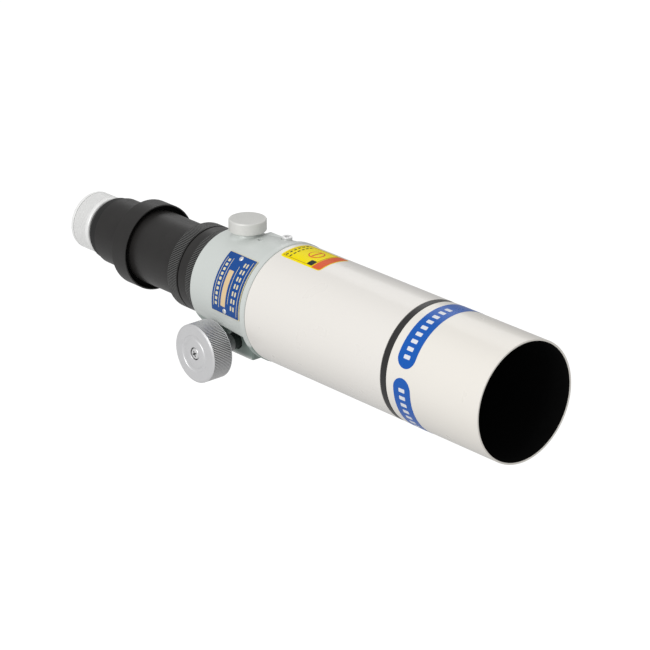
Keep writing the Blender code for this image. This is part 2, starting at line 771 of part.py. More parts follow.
def casting_screws():
    """Finder-foot screw, drawtube tension screw, and the name plate with its screws."""
    foot_place = (FOOT_SCREW_X, FOOT_SCREW_Y, 0)
    head = (FOOT_TOP + GAP, 0.0035, 0.0026, 0.0020, 0.0060)
    pan_screw("finder_foot_screw", TURN["+Z"], foot_place, *head)
    tension_place = (TENSION_SCREW_X, TENSION_SCREW_Y, 0)
    bottom, top, radius = 0.0290, 0.0364, 0.0015
    rod("tension_screw", STEEL, bottom, top, radius, TURN["+Z"], tension_place, SCREW_STEPS)

    # The plate follows the casting's taper. Local +X is world -Z, so its angles start from there.
    # It is swept a little too far, and its two ends are then cut off square to its long edges.
    middle_x = (PLATE_FRONT + PLATE_REAR) / 2
    front_half, middle_half, rear_half = (
        PLATE_WIDTH / 2 / conical_radius(x) for x in (PLATE_FRONT, middle_x, PLATE_REAR)
    )
    excess = math.radians(2)
    start = PLATE_MIDDLE - rear_half - excess + math.pi / 2
    ends = []
    for x in (PLATE_FRONT, PLATE_REAR):
        radius = conical_radius(x) + PLATE_LIFT
        ends.append((radius * math.cos(start), radius * math.sin(start), x))
    mesh = bpy.data.meshes.new("nameplate")
    mesh.from_pydata(ends, [(0, 1)], [])
    plate = add_object("nameplate", mesh, BLUE)
    plate.matrix_world = TURN["+X"]
    bend = plate.modifiers.new("Bend", "SCREW")
    bend.angle = 2 * (rear_half + excess)
    bend.steps = PLATE_STEPS
    bend.render_steps = PLATE_STEPS
    bend.use_merge_vertices = False
    shell = plate.modifiers.new("Thickness", "SOLIDIFY")
    shell.thickness = PLATE_THICKNESS
    shell.offset = 1.0
    slant = math.atan2(
        conical_radius(middle_x) * (rear_half - front_half), PLATE_FRONT - PLATE_REAR
    )
    length, depth, low, high = 0.0250, 0.0060, 0.0330, 0.0430
    for side, near, far in ((1, -depth, 0), (-1, 0, depth)):
        cut = box(f"plate_end_cut_{near < 0:d}", None, (-length, near, low), (length, far, high))
        end = radial(PLATE_MIDDLE + side * middle_half) @ Matrix.Rotation(side * slant, 4, "Z")
        middle = Matrix.Translation((middle_x, 0, 0))
        cut.matrix_world = middle @ end @ Matrix.Translation(cut.location)
        combine(plate, [cut])
    surface = conical_radius(PLATE_SCREW_X) + PLATE_LIFT + PLATE_THICKNESS
    place = (PLATE_SCREW_X, 0, 0)
    head = (surface + 0.0002, 0.0017, 0.0008, 0.0008, 0.0036)
    hole_radius, reach = 0.0011, 0.0030
    for number, angle in enumerate(PLATE_SCREW_ANGLES, 1):
        turn = radial(angle)
        span = (surface - reach, surface + reach)
        name = f"nameplate_screw_{number}"
        hole = rod(name + "_hole", None, *span, hole_radius, turn, place, SCREW_STEPS)
        combine(plate, [hole])
        pan_screw(name, turn, place, *head)


def drawtube_collar():
    """The fluted ring on the rear end of the drawtube."""
    edge, thread, lip = 0.0005, DRAWTUBE_RADIUS + 0.0004, 0.0243
    groove_radius, groove_rear = 0.0288, -0.1463
    outline = [
        (COLLAR_FRONT, COLLAR_RADIUS - edge),
        (COLLAR_FRONT - edge, COLLAR_RADIUS),
        (COLLAR_REAR, COLLAR_RADIUS),
        (COLLAR_REAR, groove_radius),
        (groove_rear, groove_radius),
        (groove_rear, lip),
        (DRAWTUBE_REAR - GAP, lip),
        (DRAWTUBE_REAR - GAP, thread),
        (COLLAR_FRONT, thread),
    ]
    turned("drawtube_collar", BLACK, outline)


def extension():
    """The extension tube and the fluted ring that couples it to the drawtube."""
    edge, bore = 0.0004, EXTENSION_RADIUS + GAP
    ring = [
        (COUPLING_FRONT, COLLAR_RADIUS - edge),
        (COUPLING_FRONT - edge, COLLAR_RADIUS),
        (COUPLING_REAR + edge, COLLAR_RADIUS),
        (COUPLING_REAR, COLLAR_RADIUS - edge),
        (COUPLING_REAR, bore),
        (COUPLING_FRONT, bore),
    ]
    turned("coupling_ring", BLACK, ring)
    inner = EXTENSION_RADIUS - EXTENSION_WALL
    tube = [
        (EXTENSION_FRONT, EXTENSION_RADIUS),
        (EXTENSION_REAR, EXTENSION_RADIUS),
        (EXTENSION_REAR, inner),
        (EXTENSION_FRONT, inner),
    ]
    turned("extension_tube", BLACK, tube)


def visual_back():
    """The flanged adapter behind the extension tube, with a recess round the tube in front."""
    edge, recess_depth, recess_radius = 0.0006, 0.0036, 0.0289
    tube_bore, throat, thread = EXTENSION_RADIUS + GAP, 0.0170, 0.0192
    outline = [
        (FLANGE_FRONT, FLANGE_RADIUS - edge),
        (FLANGE_FRONT - edge, FLANGE_RADIUS),
        (FLANGE_REAR + edge, FLANGE_RADIUS),
        (FLANGE_REAR, FLANGE_RADIUS - edge),
        (FLANGE_REAR, NECK_RADIUS),
        (NECK_REAR, NECK_RADIUS),
        (NECK_REAR, thread),
        (ADAPTER_FRONT + GAP, thread),
        (ADAPTER_FRONT + GAP, throat),
        (EXTENSION_REAR - GAP, tube_bore - 0.0036),
        (EXTENSION_REAR - GAP, tube_bore),
        (FLANGE_FRONT - recess_depth, tube_bore),
        (FLANGE_FRONT - recess_depth, recess_radius),
        (FLANGE_FRONT, recess_radius),
    ]
    turned("visual_back", BLACK, outline)


def eyepiece_holder():
    """The adapter with a 31.7 mm bore, its split brass ring and the fluted clamping collar."""
    thread = 0.0189
    step_radius, waist, waist_radius, rear_radius = 0.0225, -0.2502, 0.0219, 0.0190
    stop, stop_radius = -0.2362, 0.0150
    adapter = [
        (ADAPTER_FRONT, thread),
        (NECK_REAR - GAP, thread),
        (NECK_REAR - GAP, step_radius),
        (waist, waist_radius),
        (ADAPTER_REAR, rear_radius),
        (ADAPTER_REAR, SPIGOT_RADIUS),
        (SPIGOT_REAR, SPIGOT_RADIUS),
        (SPIGOT_REAR, EYEPIECE_BORE),
        (stop, EYEPIECE_BORE),
        (stop, stop_radius),
        (ADAPTER_FRONT, stop_radius),
    ]
    turned("eyepiece_adapter", BLACK, adapter, steps=KNOB_STEPS)

    ring_rear, ring_outer = -0.2693, 0.0177
    ring = [
        (SPIGOT_REAR - GAP, ring_outer),
        (ring_rear, ring_outer),
        (ring_rear, EYEPIECE_BORE),
        (SPIGOT_REAR - GAP, EYEPIECE_BORE),
    ]
    split_half = 0.0008
    low = (CLAMP_REAR, -split_half, -CLAMP_RADIUS)
    split = box("ring_split_cut", None, low, (CLAMP_FRONT, split_half, 0))
    combine(turned("compression_ring", BRASS, ring, steps=KNOB_STEPS), [split])

    front_radius, front_edge, edge = 0.0193, 0.0010, 0.0004
    groove, groove_half, groove_radius = -0.2710, 0.0004, 0.0194
    thread_bore, lip_bore = 0.0182, 0.0164
    collar = [
        (CLAMP_FRONT, front_radius),
        (CLAMP_FRONT - front_edge, CLAMP_RADIUS),
        (groove + groove_half, CLAMP_RADIUS),
        (groove + groove_half, groove_radius),
        (groove - groove_half, groove_radius),
        (groove - groove_half, CLAMP_RADIUS),
        (CLAMP_REAR + edge, CLAMP_RADIUS),
        (CLAMP_REAR, CLAMP_RADIUS - edge),
        (CLAMP_REAR, lip_bore),
        (ring_rear - GAP, lip_bore),
        (ring_rear - GAP, thread_bore),
        (CLAMP_FRONT, thread_bore),
    ]
    turned("clamping_collar", SILVER, collar, steps=KNOB_STEPS)


clear_scene()
PIECES = new_collection("refractor_telescope")
CUTTERS = new_collection("cutters")

WHITE = make_look("white_paint", (0.83, 0.81, 0.77), 0.25)
BLACK = make_look("black_anodised", (0.030, 0.029, 0.028), 0.42)
GREEN = make_look("pale_green_paint", (0.56, 0.64, 0.60), 0.35)
SILVER = make_look("satin_aluminium", (0.62, 0.63, 0.64), 0.35, metallic=0.8)
STEEL = make_look("bright_steel", (0.60, 0.60, 0.62), 0.25, metallic=1.0)
CHROME = make_look("chromed_tube", (0.70, 0.71, 0.72), 0.12, metallic=1.0)
BRASS = make_look("brass", (0.70, 0.52, 0.22), 0.30, metallic=1.0)
BLUE = make_look("blue_enamel", (0.02, 0.10, 0.42), 0.35)
GLASS = make_look("coated_glass", (0.80, 0.90, 0.95), 0.02, transmission=1.0)

dew_shield()
lens_cell()
objective()
main_tube()
tube_baffles()
focuser_body()
guide_rings()
pinion_cover()
pinion_bearings()
drawtube()
rack()
pinion()
focus_knobs()
drawtube_lock()
casting_screws()
drawtube_collar()
extension()
visual_back()
eyepiece_holder()
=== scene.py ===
"""Looks for a small refracting telescope tube: fine shapes, materials, light and camera.

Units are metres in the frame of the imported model. +X runs along the optical axis towards the
sky, the focusing knobs lie along Y and the lock knob is on top.
"""

import math

import bmesh
import bpy
from mathutils import Matrix, Vector


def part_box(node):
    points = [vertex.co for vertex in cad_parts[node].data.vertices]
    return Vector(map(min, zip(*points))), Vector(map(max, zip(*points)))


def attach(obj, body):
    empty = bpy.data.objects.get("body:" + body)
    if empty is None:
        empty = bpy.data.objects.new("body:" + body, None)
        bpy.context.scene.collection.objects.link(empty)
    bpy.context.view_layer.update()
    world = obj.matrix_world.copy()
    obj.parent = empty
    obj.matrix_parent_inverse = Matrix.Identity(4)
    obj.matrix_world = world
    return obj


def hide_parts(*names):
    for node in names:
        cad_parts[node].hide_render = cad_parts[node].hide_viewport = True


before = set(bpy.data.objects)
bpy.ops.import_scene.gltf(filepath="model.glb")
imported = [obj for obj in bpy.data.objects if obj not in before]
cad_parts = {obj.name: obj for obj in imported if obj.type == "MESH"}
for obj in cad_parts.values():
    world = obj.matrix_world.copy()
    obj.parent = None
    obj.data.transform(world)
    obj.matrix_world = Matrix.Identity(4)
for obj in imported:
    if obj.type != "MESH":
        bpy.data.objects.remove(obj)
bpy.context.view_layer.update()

# Facets round a fine turned piece, a rough one and a small screw.
FINE = 192
ROUGH = 96
SMALL = 48

# Points along each rounded corner, and the angle from which an edge stays crisp.
CORNER_POINTS = 3
CRISP = math.radians(32)

# Optical tube. The linings are twice LINING thick.
TUBE_RADIUS = 0.040
SHIELD_FRONT, SHIELD_REAR, SHIELD_INNER = 0.150, 0.0693, 0.0386
RING_FRONT, RING_REAR = 0.0690, 0.0641
TUBE_FRONT, TUBE_REAR, TUBE_INNER = 0.0638, -0.0650, 0.0380
LENS_RADIUS, LENS_CURVE = 0.0310, 0.200
LINING = 0.0001

# Focuser casting.
LIP_FRONT, LIP_REAR, LIP_RADIUS = -0.0653, -0.0700, 0.0405
CONE_FRONT_RADIUS = 0.0396
CONE_REAR, CONE_REAR_RADIUS = -0.1276, 0.0340
BODY_BORE = 0.0283
SPIGOT_FRONT, SPIGOT_RADIUS, SPIGOT_BORE = -0.0550, 0.0376, 0.0340

# Pinion and knobs. SIDES names both ends of the shaft.
PINION_X, PINION_Z = -0.1000, -0.03195
PINION = (PINION_X, 0, PINION_Z)
SIDES = (("left", "+Y"), ("right", "-Y"))
SHAFT_RADIUS, BEARING_RADIUS, BEARING_BORE = 0.0025, 0.0054, 0.0057
KNOB_RADIUS, KNOB_FACE, KNOB_BACK, KNOB_FLOOR = 0.0198, 0.0534, 0.0374, 0.0517
KNOB_HUB_RADIUS, KNOB_HUB_END = 0.0060, 0.0232
KNOB_SCREW_SEAT = KNOB_FLOOR + 0.0003
HOUSING_BOTTOM, COVER_TOP = -0.0420, -0.0400

# Black rings behind the casting, and the clamping collar.
BLACK_RING_RADIUS, CLAMP_RADIUS = 0.0298, 0.0203

# Depth of the knurls: focus knobs, black rings and clamping collar.
KNOB_FLUTE, KNURL_DEPTH, CLAMP_FLUTE = 0.0007, 0.0005, 0.00025
LOCK_X, LOCK_RADIUS, LOCK_BOTTOM, LOCK_TOP = -0.1084, 0.0126, 0.0389, 0.0469

# Screws: head radius, head height, shank radius and length below the head.
KNOB_SCREW_SIZE = (0.0037, 0.0014, 0.0014, 0.0100)
COVER_SCREW_SIZE = (0.0022, 0.0010, 0.0012, 0.0060)
PLATE_SCREW_SIZE = (0.0017, 0.0009, 0.0008, 0.0036)
RACK_SCREW_SIZE = (0.0020, 0.0011, 0.0010, 0.0028)

# Screws of the casting: (x, y) of each.
FOOT_SCREW = (-0.0812, 0.0105)
TENSION_SCREW = (-0.0920, -0.0030)
COVER_SCREWS = [(PINION_X + i * 0.0105, j * 0.0110) for i, j in ((1, -1), (1, 1), (-1, -1), (-1, 1))]
FOOT_TOP = 0.0362
RACK_SCREWS = (("front", -0.0660), ("rear", -0.1040))

# Name plate, a rectangle bent round the casting.
PLATE_FRONT, PLATE_REAR = -0.0706, -0.1015
PLATE_MIDDLE, PLATE_WIDTH = math.radians(155.1), 0.0418
PLATE_GAP, PLATE_THICKNESS = 0.00015, 0.00045
PLATE_SCREW_X = -0.0862
PLATE_SCREW_ANGLES = (math.radians(128.0), math.radians(182.4))

TURN = {
    "+X": Matrix.Rotation(math.pi / 2, 4, "Y"),
    "+Y": Matrix.Rotation(-math.pi / 2, 4, "X"),
    "-Y": Matrix.Rotation(math.pi / 2, 4, "X"),
    "+Z": Matrix.Identity(4),
    "-Z": Matrix.Rotation(math.pi, 4, "X"),
}


def radial(angle):
    """Turns local +Z to point away from the optical axis, at an angle from +Y towards +Z."""
    return Matrix.Rotation(angle - math.pi / 2, 4, "X")


def placed(place, turn="+Z"):
    """The matrix of a piece whose local +Z is turned to a named direction, or by a matrix."""
    return Matrix.Translation(place) @ (TURN[turn] if isinstance(turn, str) else turn)


def cone_radius(x):
    """Outer radius of the casting's cone."""
    part = (x - CONE_REAR) / (LIP_REAR - CONE_REAR)
    return CONE_REAR_RADIUS + part * (CONE_FRONT_RADIUS - CONE_REAR_RADIUS)


def shaded(colour, shade):
    return tuple(min(1.0, shade * c) for c in colour)


# ---- Materials. Local +Z is the turning axis of every turned piece.


def feed(tree, socket, value):
    """Gives an input a value, or links it to the output that it is fed by."""
    if isinstance(value, bpy.types.NodeSocket):
        tree.links.new(value, socket)
    else:
        socket.default_value = value


def add_node(tree, kind, **inputs):
    node = tree.nodes.new("ShaderNode" + kind)
    for name, value in inputs.items():
        feed(tree, node.inputs[name.replace("_", " ")], value)
    return node


class Look:
    """A Principled material, with short calls for the nodes that vary it."""

    def __init__(self, name, colour, roughness, metallic=0.0, **sockets):
        self.material = bpy.data.materials.new(name)
        self.material.use_nodes = True
        self.material.diffuse_color = (*colour, 1.0)
        self.tree = self.material.node_tree
        self.shader = self.tree.nodes["Principled BSDF"]
        self.roughness = roughness
        self.colour = self.base = (*colour, 1.0)
        self.normal = None
        sockets.update(Base_Color=self.colour, Roughness=roughness, Metallic=metallic)
        for socket, value in sockets.items():
            self.shader.inputs[socket.replace("_", " ")].default_value = value
        self.coords = add_node(self.tree, "TexCoord").outputs["Object"]

    def math(self, operation, a, b=0.0):
        node = add_node(self.tree, "Math")
        node.operation = operation
        for socket, value in zip(node.inputs, (a, b)):
            feed(self.tree, socket, value)
        return node.outputs["Value"]

    def clamp(self, value):
        return self.math("MINIMUM", self.math("MAXIMUM", value, 0.0), 1.0)

    def noise(self, size, detail=3.0, vector=None):
        """Noise whose features are about size metres across, from 0 to 1."""
        vector = self.coords if vector is None else vector
        node = add_node(self.tree, "TexNoise", Scale=1.0 / size, Detail=detail, Vector=vector)
        return node.outputs["Fac"]

    def vary_colour(self, factor, other):
        """Mixes towards another colour. Each call stands on the ones before it.

        The plain colour stays in A, also under a link.
        """
        node = add_node(self.tree, "Mix")
        node.data_type = "RGBA"
        node.inputs["A"].default_value = self.colour
        for socket, value in (("A", self.base), ("B", (*other, 1.0)), ("Factor", factor)):
            feed(self.tree, node.inputs[socket], value)
        self.base = node.outputs["Result"]
        feed(self.tree, self.shader.inputs["Base Color"], self.base)

    def vary_roughness(self, factor, spread):
        low, high = self.roughness - spread, self.roughness + spread
        limits = {"From_Min": 0.3, "From_Max": 0.7, "To_Min": low, "To_Max": high}
        ramp = add_node(self.tree, "MapRange", Value=factor, **limits)
        feed(self.tree, self.shader.inputs["Roughness"], ramp.outputs["Result"])

    def bump(self, height, distance, strength):
        """Adds relief of distance metres. Each call stands on the ones before it."""
        node = add_node(self.tree, "Bump", Strength=strength, Distance=distance, Height=height)
        if self.normal is not None:
            feed(self.tree, node.inputs["Normal"], self.normal)
        self.normal = node.outputs["Normal"]
        feed(self.tree, self.shader.inputs["Normal"], self.normal)

    def vary(self, shade, colour_size, roughness_size, spread, *bumps):
        """Noise in colour and roughness, and a bump for each (size, detail, distance, strength)."""
        self.vary_colour(self.noise(colour_size), shade)
        self.vary_roughness(self.noise(roughness_size), spread)
        for size, detail, distance, strength in bumps:
            self.bump(self.noise(size, detail), distance, strength)
        return self.material

    def axes(self):
        split = add_node(self.tree, "SeparateXYZ", Vector=self.coords)
        return (split.outputs[axis] for axis in "XYZ")

    def radius_and_height(self):
        """Distance from the turning axis, and place along it."""
        x, y, z = self.axes()
        square = self.math("ADD", self.math("MULTIPLY", x, x), self.math("MULTIPLY", y, y))
        return self.math("SQRT", square), z

    def inside(self, value, low, high, soft):
        """1 where value lies between two limits, falling to 0 over soft metres outside them."""
        near = self.math("DIVIDE", self.math("SUBTRACT", value, low - soft), soft)
        far = self.math("DIVIDE", self.math("SUBTRACT", high + soft, value), soft)
        return self.clamp(self.math("MINIMUM", near, far))

    def knurl(self, radius, depth, low, high):
        """Factors for the crests and the valleys of a straight knurl between two places."""
        r, z = self.radius_and_height()
        above, below = self.math("GREATER_THAN", z, low), self.math("LESS_THAN", z, high)
        within = self.math("MULTIPLY", above, below)
        fall = self.clamp(self.math("DIVIDE", self.math("SUBTRACT", radius, r), depth))
        valley = self.math("MULTIPLY", fall, within)
        return self.math("SUBTRACT", within, valley), valley

    def lathe_lines(self, pitch):
        """Fine rings round the turning axis, on the sides and on the end faces alike."""
        radius, z = self.radius_and_height()
        join = add_node(self.tree, "CombineXYZ", X=radius, Z=z)
        return self.noise(pitch, 2.0, join.outputs["Vector"])


def white_paint(name, colour, shade):
    look = Look(name, colour, 0.28, Coat_Weight=0.30, Coat_Roughness=0.14)
    look.vary_colour(look.noise(0.08, 1.0), shade)
    look.vary_roughness(look.noise(0.02), 0.008)
    look.bump(look.noise(0.0006), 0.000001, 0.15)
    return look.material


def cast_paint(name, colour, shade, recess=None):
    look = Look(name, colour, 0.36, Coat_Weight=0.25, Coat_Roughness=0.18)
    look.vary_colour(look.noise(0.018), shade)
    if recess:
        # Painted shade in the hollows under the flanks, and darker painted shade low down just behind the
        # lip.
        x, y, z = look.axes()
        flank_shade = look.inside(look.math("ABSOLUTE", y), 0.0150, 0.0335, 0.0010)
        height = look.inside(z, -0.0385, -0.0185, 0.0020)
        look.vary_colour(look.math("MULTIPLY", flank_shade, height), recess)
        lip_shade = look.inside(x, -0.0840, LIP_REAR - 0.0009, 0.0006)
        height = look.inside(z, -0.0450, -0.0220, 0.0050)
        look.vary_colour(look.math("MULTIPLY", lip_shade, height), shaded(recess, 0.85))
    look.vary_roughness(look.noise(0.003), 0.06)
    look.bump(look.noise(0.0016, 4.0), 0.00006, 0.5)
    look.bump(look.noise(0.0004, 2.0), 0.00002, 0.4)
    return look.material


def turned_black(name, colour=(0.017, 0.016, 0.0155), roughness=0.38, knurl=None):
    look = Look(name, colour, roughness, Specular_IOR_Level=0.45)
    lines = look.lathe_lines(0.00025)
    look.vary_colour(look.noise(0.010), shaded(colour, 1.5))
    if knurl:
        # Painted highlight on the knurl's crests, and painted shade in its valleys.
        crests, valleys = look.knurl(*knurl)
        look.vary_colour(crests, (0.120, 0.120, 0.118))
        look.vary_colour(valleys, (0.002, 0.002, 0.002))
    look.vary_roughness(lines, 0.05)
    look.bump(lines, 0.000015, 0.45)
    return look.material


def turned_metal(name, colour, roughness, metallic=1.0, relief=0.00002, knurl=None, rim=None, band=None):
    """A turned metal, with up to three masked shades of its colour: painted shade or painted light.

    knurl is (shade, radius, depth, low, high), for painted shade in the valleys. rim is (shade, radius),
    for painted light on what lies further out. band is (shade, low, high), for painted shade on a
    stretch along the axis.
    """
    look = Look(name, colour, roughness, metallic)
    lines = look.lathe_lines(0.0003)
    look.vary_colour(look.noise(0.006), shaded(colour, 0.93))
    if rim:
        radius, _ = look.radius_and_height()
        look.vary_colour(look.math("GREATER_THAN", radius, rim[1]), shaded(colour, rim[0]))
    if knurl:
        _, valleys = look.knurl(*knurl[1:])
        look.vary_colour(valleys, shaded(colour, knurl[0]))
    if band:
        _, height = look.radius_and_height()
        look.vary_colour(look.inside(height, *band[1:], 0.00005), shaded(colour, band[0]))
    look.vary_roughness(lines, 0.06)
    look.bump(lines, relief, 0.6)
    return look.material


def flock(name, colour):
    look = Look(name, colour, 0.95, Specular_IOR_Level=0.1)
    return look.vary(shaded(colour, 1.8), 0.004, 0.001, 0.04, (0.0004, 3.0, 0.0001, 0.5))


def vinyl(name, colour, shade, coat=0.0, gloss=0.05):
    look = Look(name, colour, 0.30, Specular_IOR_Level=gloss, Coat_Weight=coat, Coat_Roughness=0.10)
    return look.vary(shade, 0.010, 0.002, 0.05, (0.0009, 3.0, 0.00002, 0.3))


def moulded(name, colour):
    look = Look(name, colour, 0.55)
    return look.vary(shaded(colour, 1.4), 0.004, 0.001, 0.08, (0.0003, 3.0, 0.00003, 0.5))


def lens_glass(name):
    look = Look(name, (0.86, 0.95, 0.92), 0.0, IOR=1.52, Transmission_Weight=1.0)
    look.vary_colour(look.noise(0.03), (0.84, 0.91, 0.95))
    return look.material


GREEN, GREEN_SHADE = (0.670, 0.705, 0.680), (0.645, 0.680, 0.655)
WHITE = white_paint("white_enamel", (0.872, 0.843, 0.800), (0.862, 0.833, 0.788))
SHIELD_WHITE = white_paint("shield_enamel", (0.885, 0.850, 0.790), (0.875, 0.840, 0.778))
MINT = cast_paint("mint_enamel", GREEN, GREEN_SHADE)
# The casting's mint carries painted shade under the flanks and behind the lip, in this darker colour.
CAST_MINT = cast_paint("mint_casting_enamel", GREEN, GREEN_SHADE, (0.270, 0.335, 0.305))
BLACK = turned_black("black_anodised")
DULL_BLACK = turned_black("dull_black_anodised", (0.009, 0.009, 0.009), 0.6)
FLOCK = flock("matt_black_lining", (0.0025, 0.0025, 0.0025))
# Painted highlight and painted shade on the knurls of the drawtube collar and the coupling ring.
COLLAR_KNURL = (BLACK_RING_RADIUS, KNURL_DEPTH, -0.1377, -0.1285)
COLLAR_BLACK = turned_black("collar_black", knurl=COLLAR_KNURL)
COUPLING_KNURL = (BLACK_RING_RADIUS, KNURL_DEPTH, -0.1562, -0.1472)
COUPLING_BLACK = turned_black("coupling_black", knurl=COUPLING_KNURL)
# Painted shade in the valleys of the focus knobs' knurl, and on the hub behind each knob.
KNOB_KNURL = (0.09, KNOB_RADIUS, KNOB_FLUTE, KNOB_BACK + 0.0006, KNOB_FACE - 0.0010)
KNOB_HUB_SHADE = (0.35, KNOB_HUB_END, KNOB_BACK - 0.0006)
SILVER = turned_metal("satin_aluminium", (0.80, 0.80, 0.81), 0.42, 0.55, knurl=KNOB_KNURL, band=KNOB_HUB_SHADE)
# Painted light: the lock knob's side and outer edge are lighter than its top.
LOCK_SIDE_LIGHT = (1.18, LOCK_RADIUS - 0.0009)
PEARL = turned_metal("pearl_aluminium", (0.67, 0.67, 0.645), 0.50, 0.35, rim=LOCK_SIDE_LIGHT)
# Painted shade in the valleys of the clamping collar's knurl and in its groove.
CLAMP_KNURL = (0.65, CLAMP_RADIUS, CLAMP_FLUTE, -0.2703, -0.2582)
CLAMP_GROOVE_SHADE = (0.2, -0.2713, -0.2707)
BRIGHT = turned_metal("bright_aluminium", (1.0, 1.0, 0.99), 0.38, 0.15, knurl=CLAMP_KNURL, band=CLAMP_GROOVE_SHADE)
STEEL = turned_metal("bright_steel", (0.60, 0.60, 0.62), 0.26)
SCREW = turned_metal("screw_steel", (0.86, 0.86, 0.86), 0.34, 0.50)
# Painted shade on the walls of the knob screws' cross recess, from 0.15 mm below the head's top.
KNOB_RECESS_SHADE = (0.14, 0.0024, 0.0001, KNOB_FLOOR - 0.0050, KNOB_SCREW_SEAT + KNOB_SCREW_SIZE[1] - 0.00015)
KNOB_SCREW = turned_metal("knob_screw_steel", (0.86, 0.86, 0.86), 0.34, 0.50, knurl=KNOB_RECESS_SHADE)
CHROME = turned_metal("polished_chrome", (0.72, 0.73, 0.74), 0.10, relief=0.000004)
BRASS = turned_metal("turned_brass", (0.72, 0.54, 0.24), 0.30)
YELLOW = vinyl("yellow_vinyl", (1.0, 0.83, 0.0), (0.98, 0.80, 0.0))
ORANGE = vinyl("orange_vinyl", (0.80, 0.13, 0.045), (0.76, 0.12, 0.04))
AMBER = vinyl("amber_vinyl", (0.50, 0.26, 0.02), (0.45, 0.23, 0.02))
INK = vinyl("dark_vinyl", (0.020, 0.030, 0.024), (0.026, 0.036, 0.030))
PILL_BLUE = vinyl("blue_vinyl", (0.005, 0.110, 0.50), (0.005, 0.100, 0.46), 0.1, 0.25)
PALE = vinyl("pale_vinyl", (0.80, 0.82, 0.86), (0.76, 0.78, 0.84), 0.0, 0.2)
PLATE_BLUE = vinyl("blue_enamel", (0.003, 0.072, 0.32), (0.003, 0.065, 0.29), 0.05, 0.3)
PLATE_TRIM = turned_metal("plate_trim", (0.88, 0.80, 0.54), 0.40, 0.15)
PLATE_TAN = vinyl("tan_enamel", (0.82, 0.62, 0.36), (0.78, 0.57, 0.31), 0.4, 0.5)
BLOCK = moulded("black_moulding", (0.016, 0.022, 0.020))
GLASS = lens_glass("coated_glass")

# ---- Shapes.


def finish_mesh(mesh):
    """Smooth shading with an edge kept crisp where the surface turns sharply."""
    mesh.polygons.foreach_set("use_smooth", [True] * len(mesh.polygons))
    mesh.set_sharp_from_angle(angle=CRISP)
    mesh.update()


def mesh_from(shape, name):
    """Turns a bmesh into a finished mesh, and frees it."""
    mesh = bpy.data.meshes.new(name)
    shape.to_mesh(mesh)
    shape.free()
    finish_mesh(mesh)
    return mesh


def bake_modifiers(obj, **options):
    """Gives obj the mesh that its modifiers make."""
    bpy.context.view_layer.update()
    graph = bpy.context.evaluated_depsgraph_get()
    mesh = bpy.data.meshes.new_from_object(obj.evaluated_get(graph), depsgraph=graph, **options)
    obj.modifiers.clear()
    obj.data = mesh


def place_piece(obj, body, look, nodes=()):
    """Gives a finished piece its material, its body and the CAD nodes that it stands for."""
    # Normals weighted by face area, so that a flat face between rounded edges looks flat.
    weight = obj.modifiers.new("Weight", "WEIGHTED_NORMAL")
    weight.keep_sharp = True
    bake_modifiers(obj, preserve_all_data_layers=True)
    obj.data.materials.clear()
    obj.data.materials.append(look)
    bpy.context.view_layer.update()
    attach(obj, body)
    if nodes:
        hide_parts(*nodes)


def new_object(name, mesh, matrix=None):
    obj = bpy.data.objects.new(name, mesh)
    bpy.context.scene.collection.objects.link(obj)
    if matrix is not None:
        obj.matrix_world = matrix
    return obj


def ring(front, rear, outer, inner):
    """Outline of a plain ring, to be turned."""
    return [(front, outer), (rear, outer), (rear, inner), (front, inner)]


def rod(top, bottom, radius):
    """Outline of a plain rod, to be turned."""
    return [(top, 0), (top, radius), (bottom, radius), (bottom, 0)]


def is_open(outline):
    """True where an outline starts and ends on the turning axis."""
    return min(point[1] for point in outline) <= 0


def rounded(outline, size):
    """Cuts each corner of an outline of (along, radius) with a small arc.

    Points on the axis stay. A third number in a point is its flute depth, and is kept.
    """
    result = []
    count = len(outline)
    for i, point in enumerate(outline):
        if is_open(outline) and i in (0, count - 1):
            result.append(point)
            continue
        here = Vector(point[:2])
        before, after = Vector(outline[i - 1][:2]), Vector(outline[(i + 1) % count][:2])
        reach = min(size, 0.45 * (before - here).length, 0.45 * (after - here).length)
        start = here + (before - here).normalized() * reach
        end = here + (after - here).normalized() * reach
        for step in range(CORNER_POINTS + 1):
            t = step / CORNER_POINTS
            spot = start * (1 - t) ** 2 + here * 2 * t * (1 - t) + end * t**2
            result.append((spot.x, spot.y, *point[2:]))
    return result


def turned_mesh(name, outline, steps=FINE, flutes=0):
    """Turns an outline of (along, radius[, flute depth]) round local Z.

    A point with a flute depth is cut by that depth between the teeth of a straight knurl.
    """
    wave = [(0.0, 0.0)]
    count = steps
    if flutes:
        crest, valley, half_valley = 0.35, 0.675, 0.05
        wave = [(0.0, 0.0), (crest, 0.0), (valley - half_valley, 1.0), (valley + half_valley, 1.0)]
        count = flutes * len(wave)
    turns = []
    for i in range(count):
        part, cut_share = wave[i % len(wave)]
        turns.append((2 * math.pi * (i // len(wave) + part) / (count // len(wave)), cut_share))
    shape = bmesh.new()
    rings = []
    for point in outline:
        along, radius = point[:2]
        depth = point[2] if len(point) > 2 else 0.0
        if radius <= 0:
            rings.append([shape.verts.new((0, 0, along))])
            continue
        line = []
        for turn, cut_share in turns:
            r = radius - depth * cut_share
            line.append(shape.verts.new((r * math.cos(turn), r * math.sin(turn), along)))
        rings.append(line)
    pairs = list(zip(rings, rings[1:])) + ([] if is_open(outline) else [(rings[-1], rings[0])])
    for a, b in pairs:
        for i in range(count):
            j = (i + 1) % count
            corners = [a[i % len(a)], a[j % len(a)], b[j % len(b)], b[i % len(b)]]
            corners = list(dict.fromkeys(corners))
            if len(corners) > 2:
                shape.faces.new(corners)
    bmesh.ops.recalc_face_normals(shape, faces=shape.faces)
    return mesh_from(shape, name)


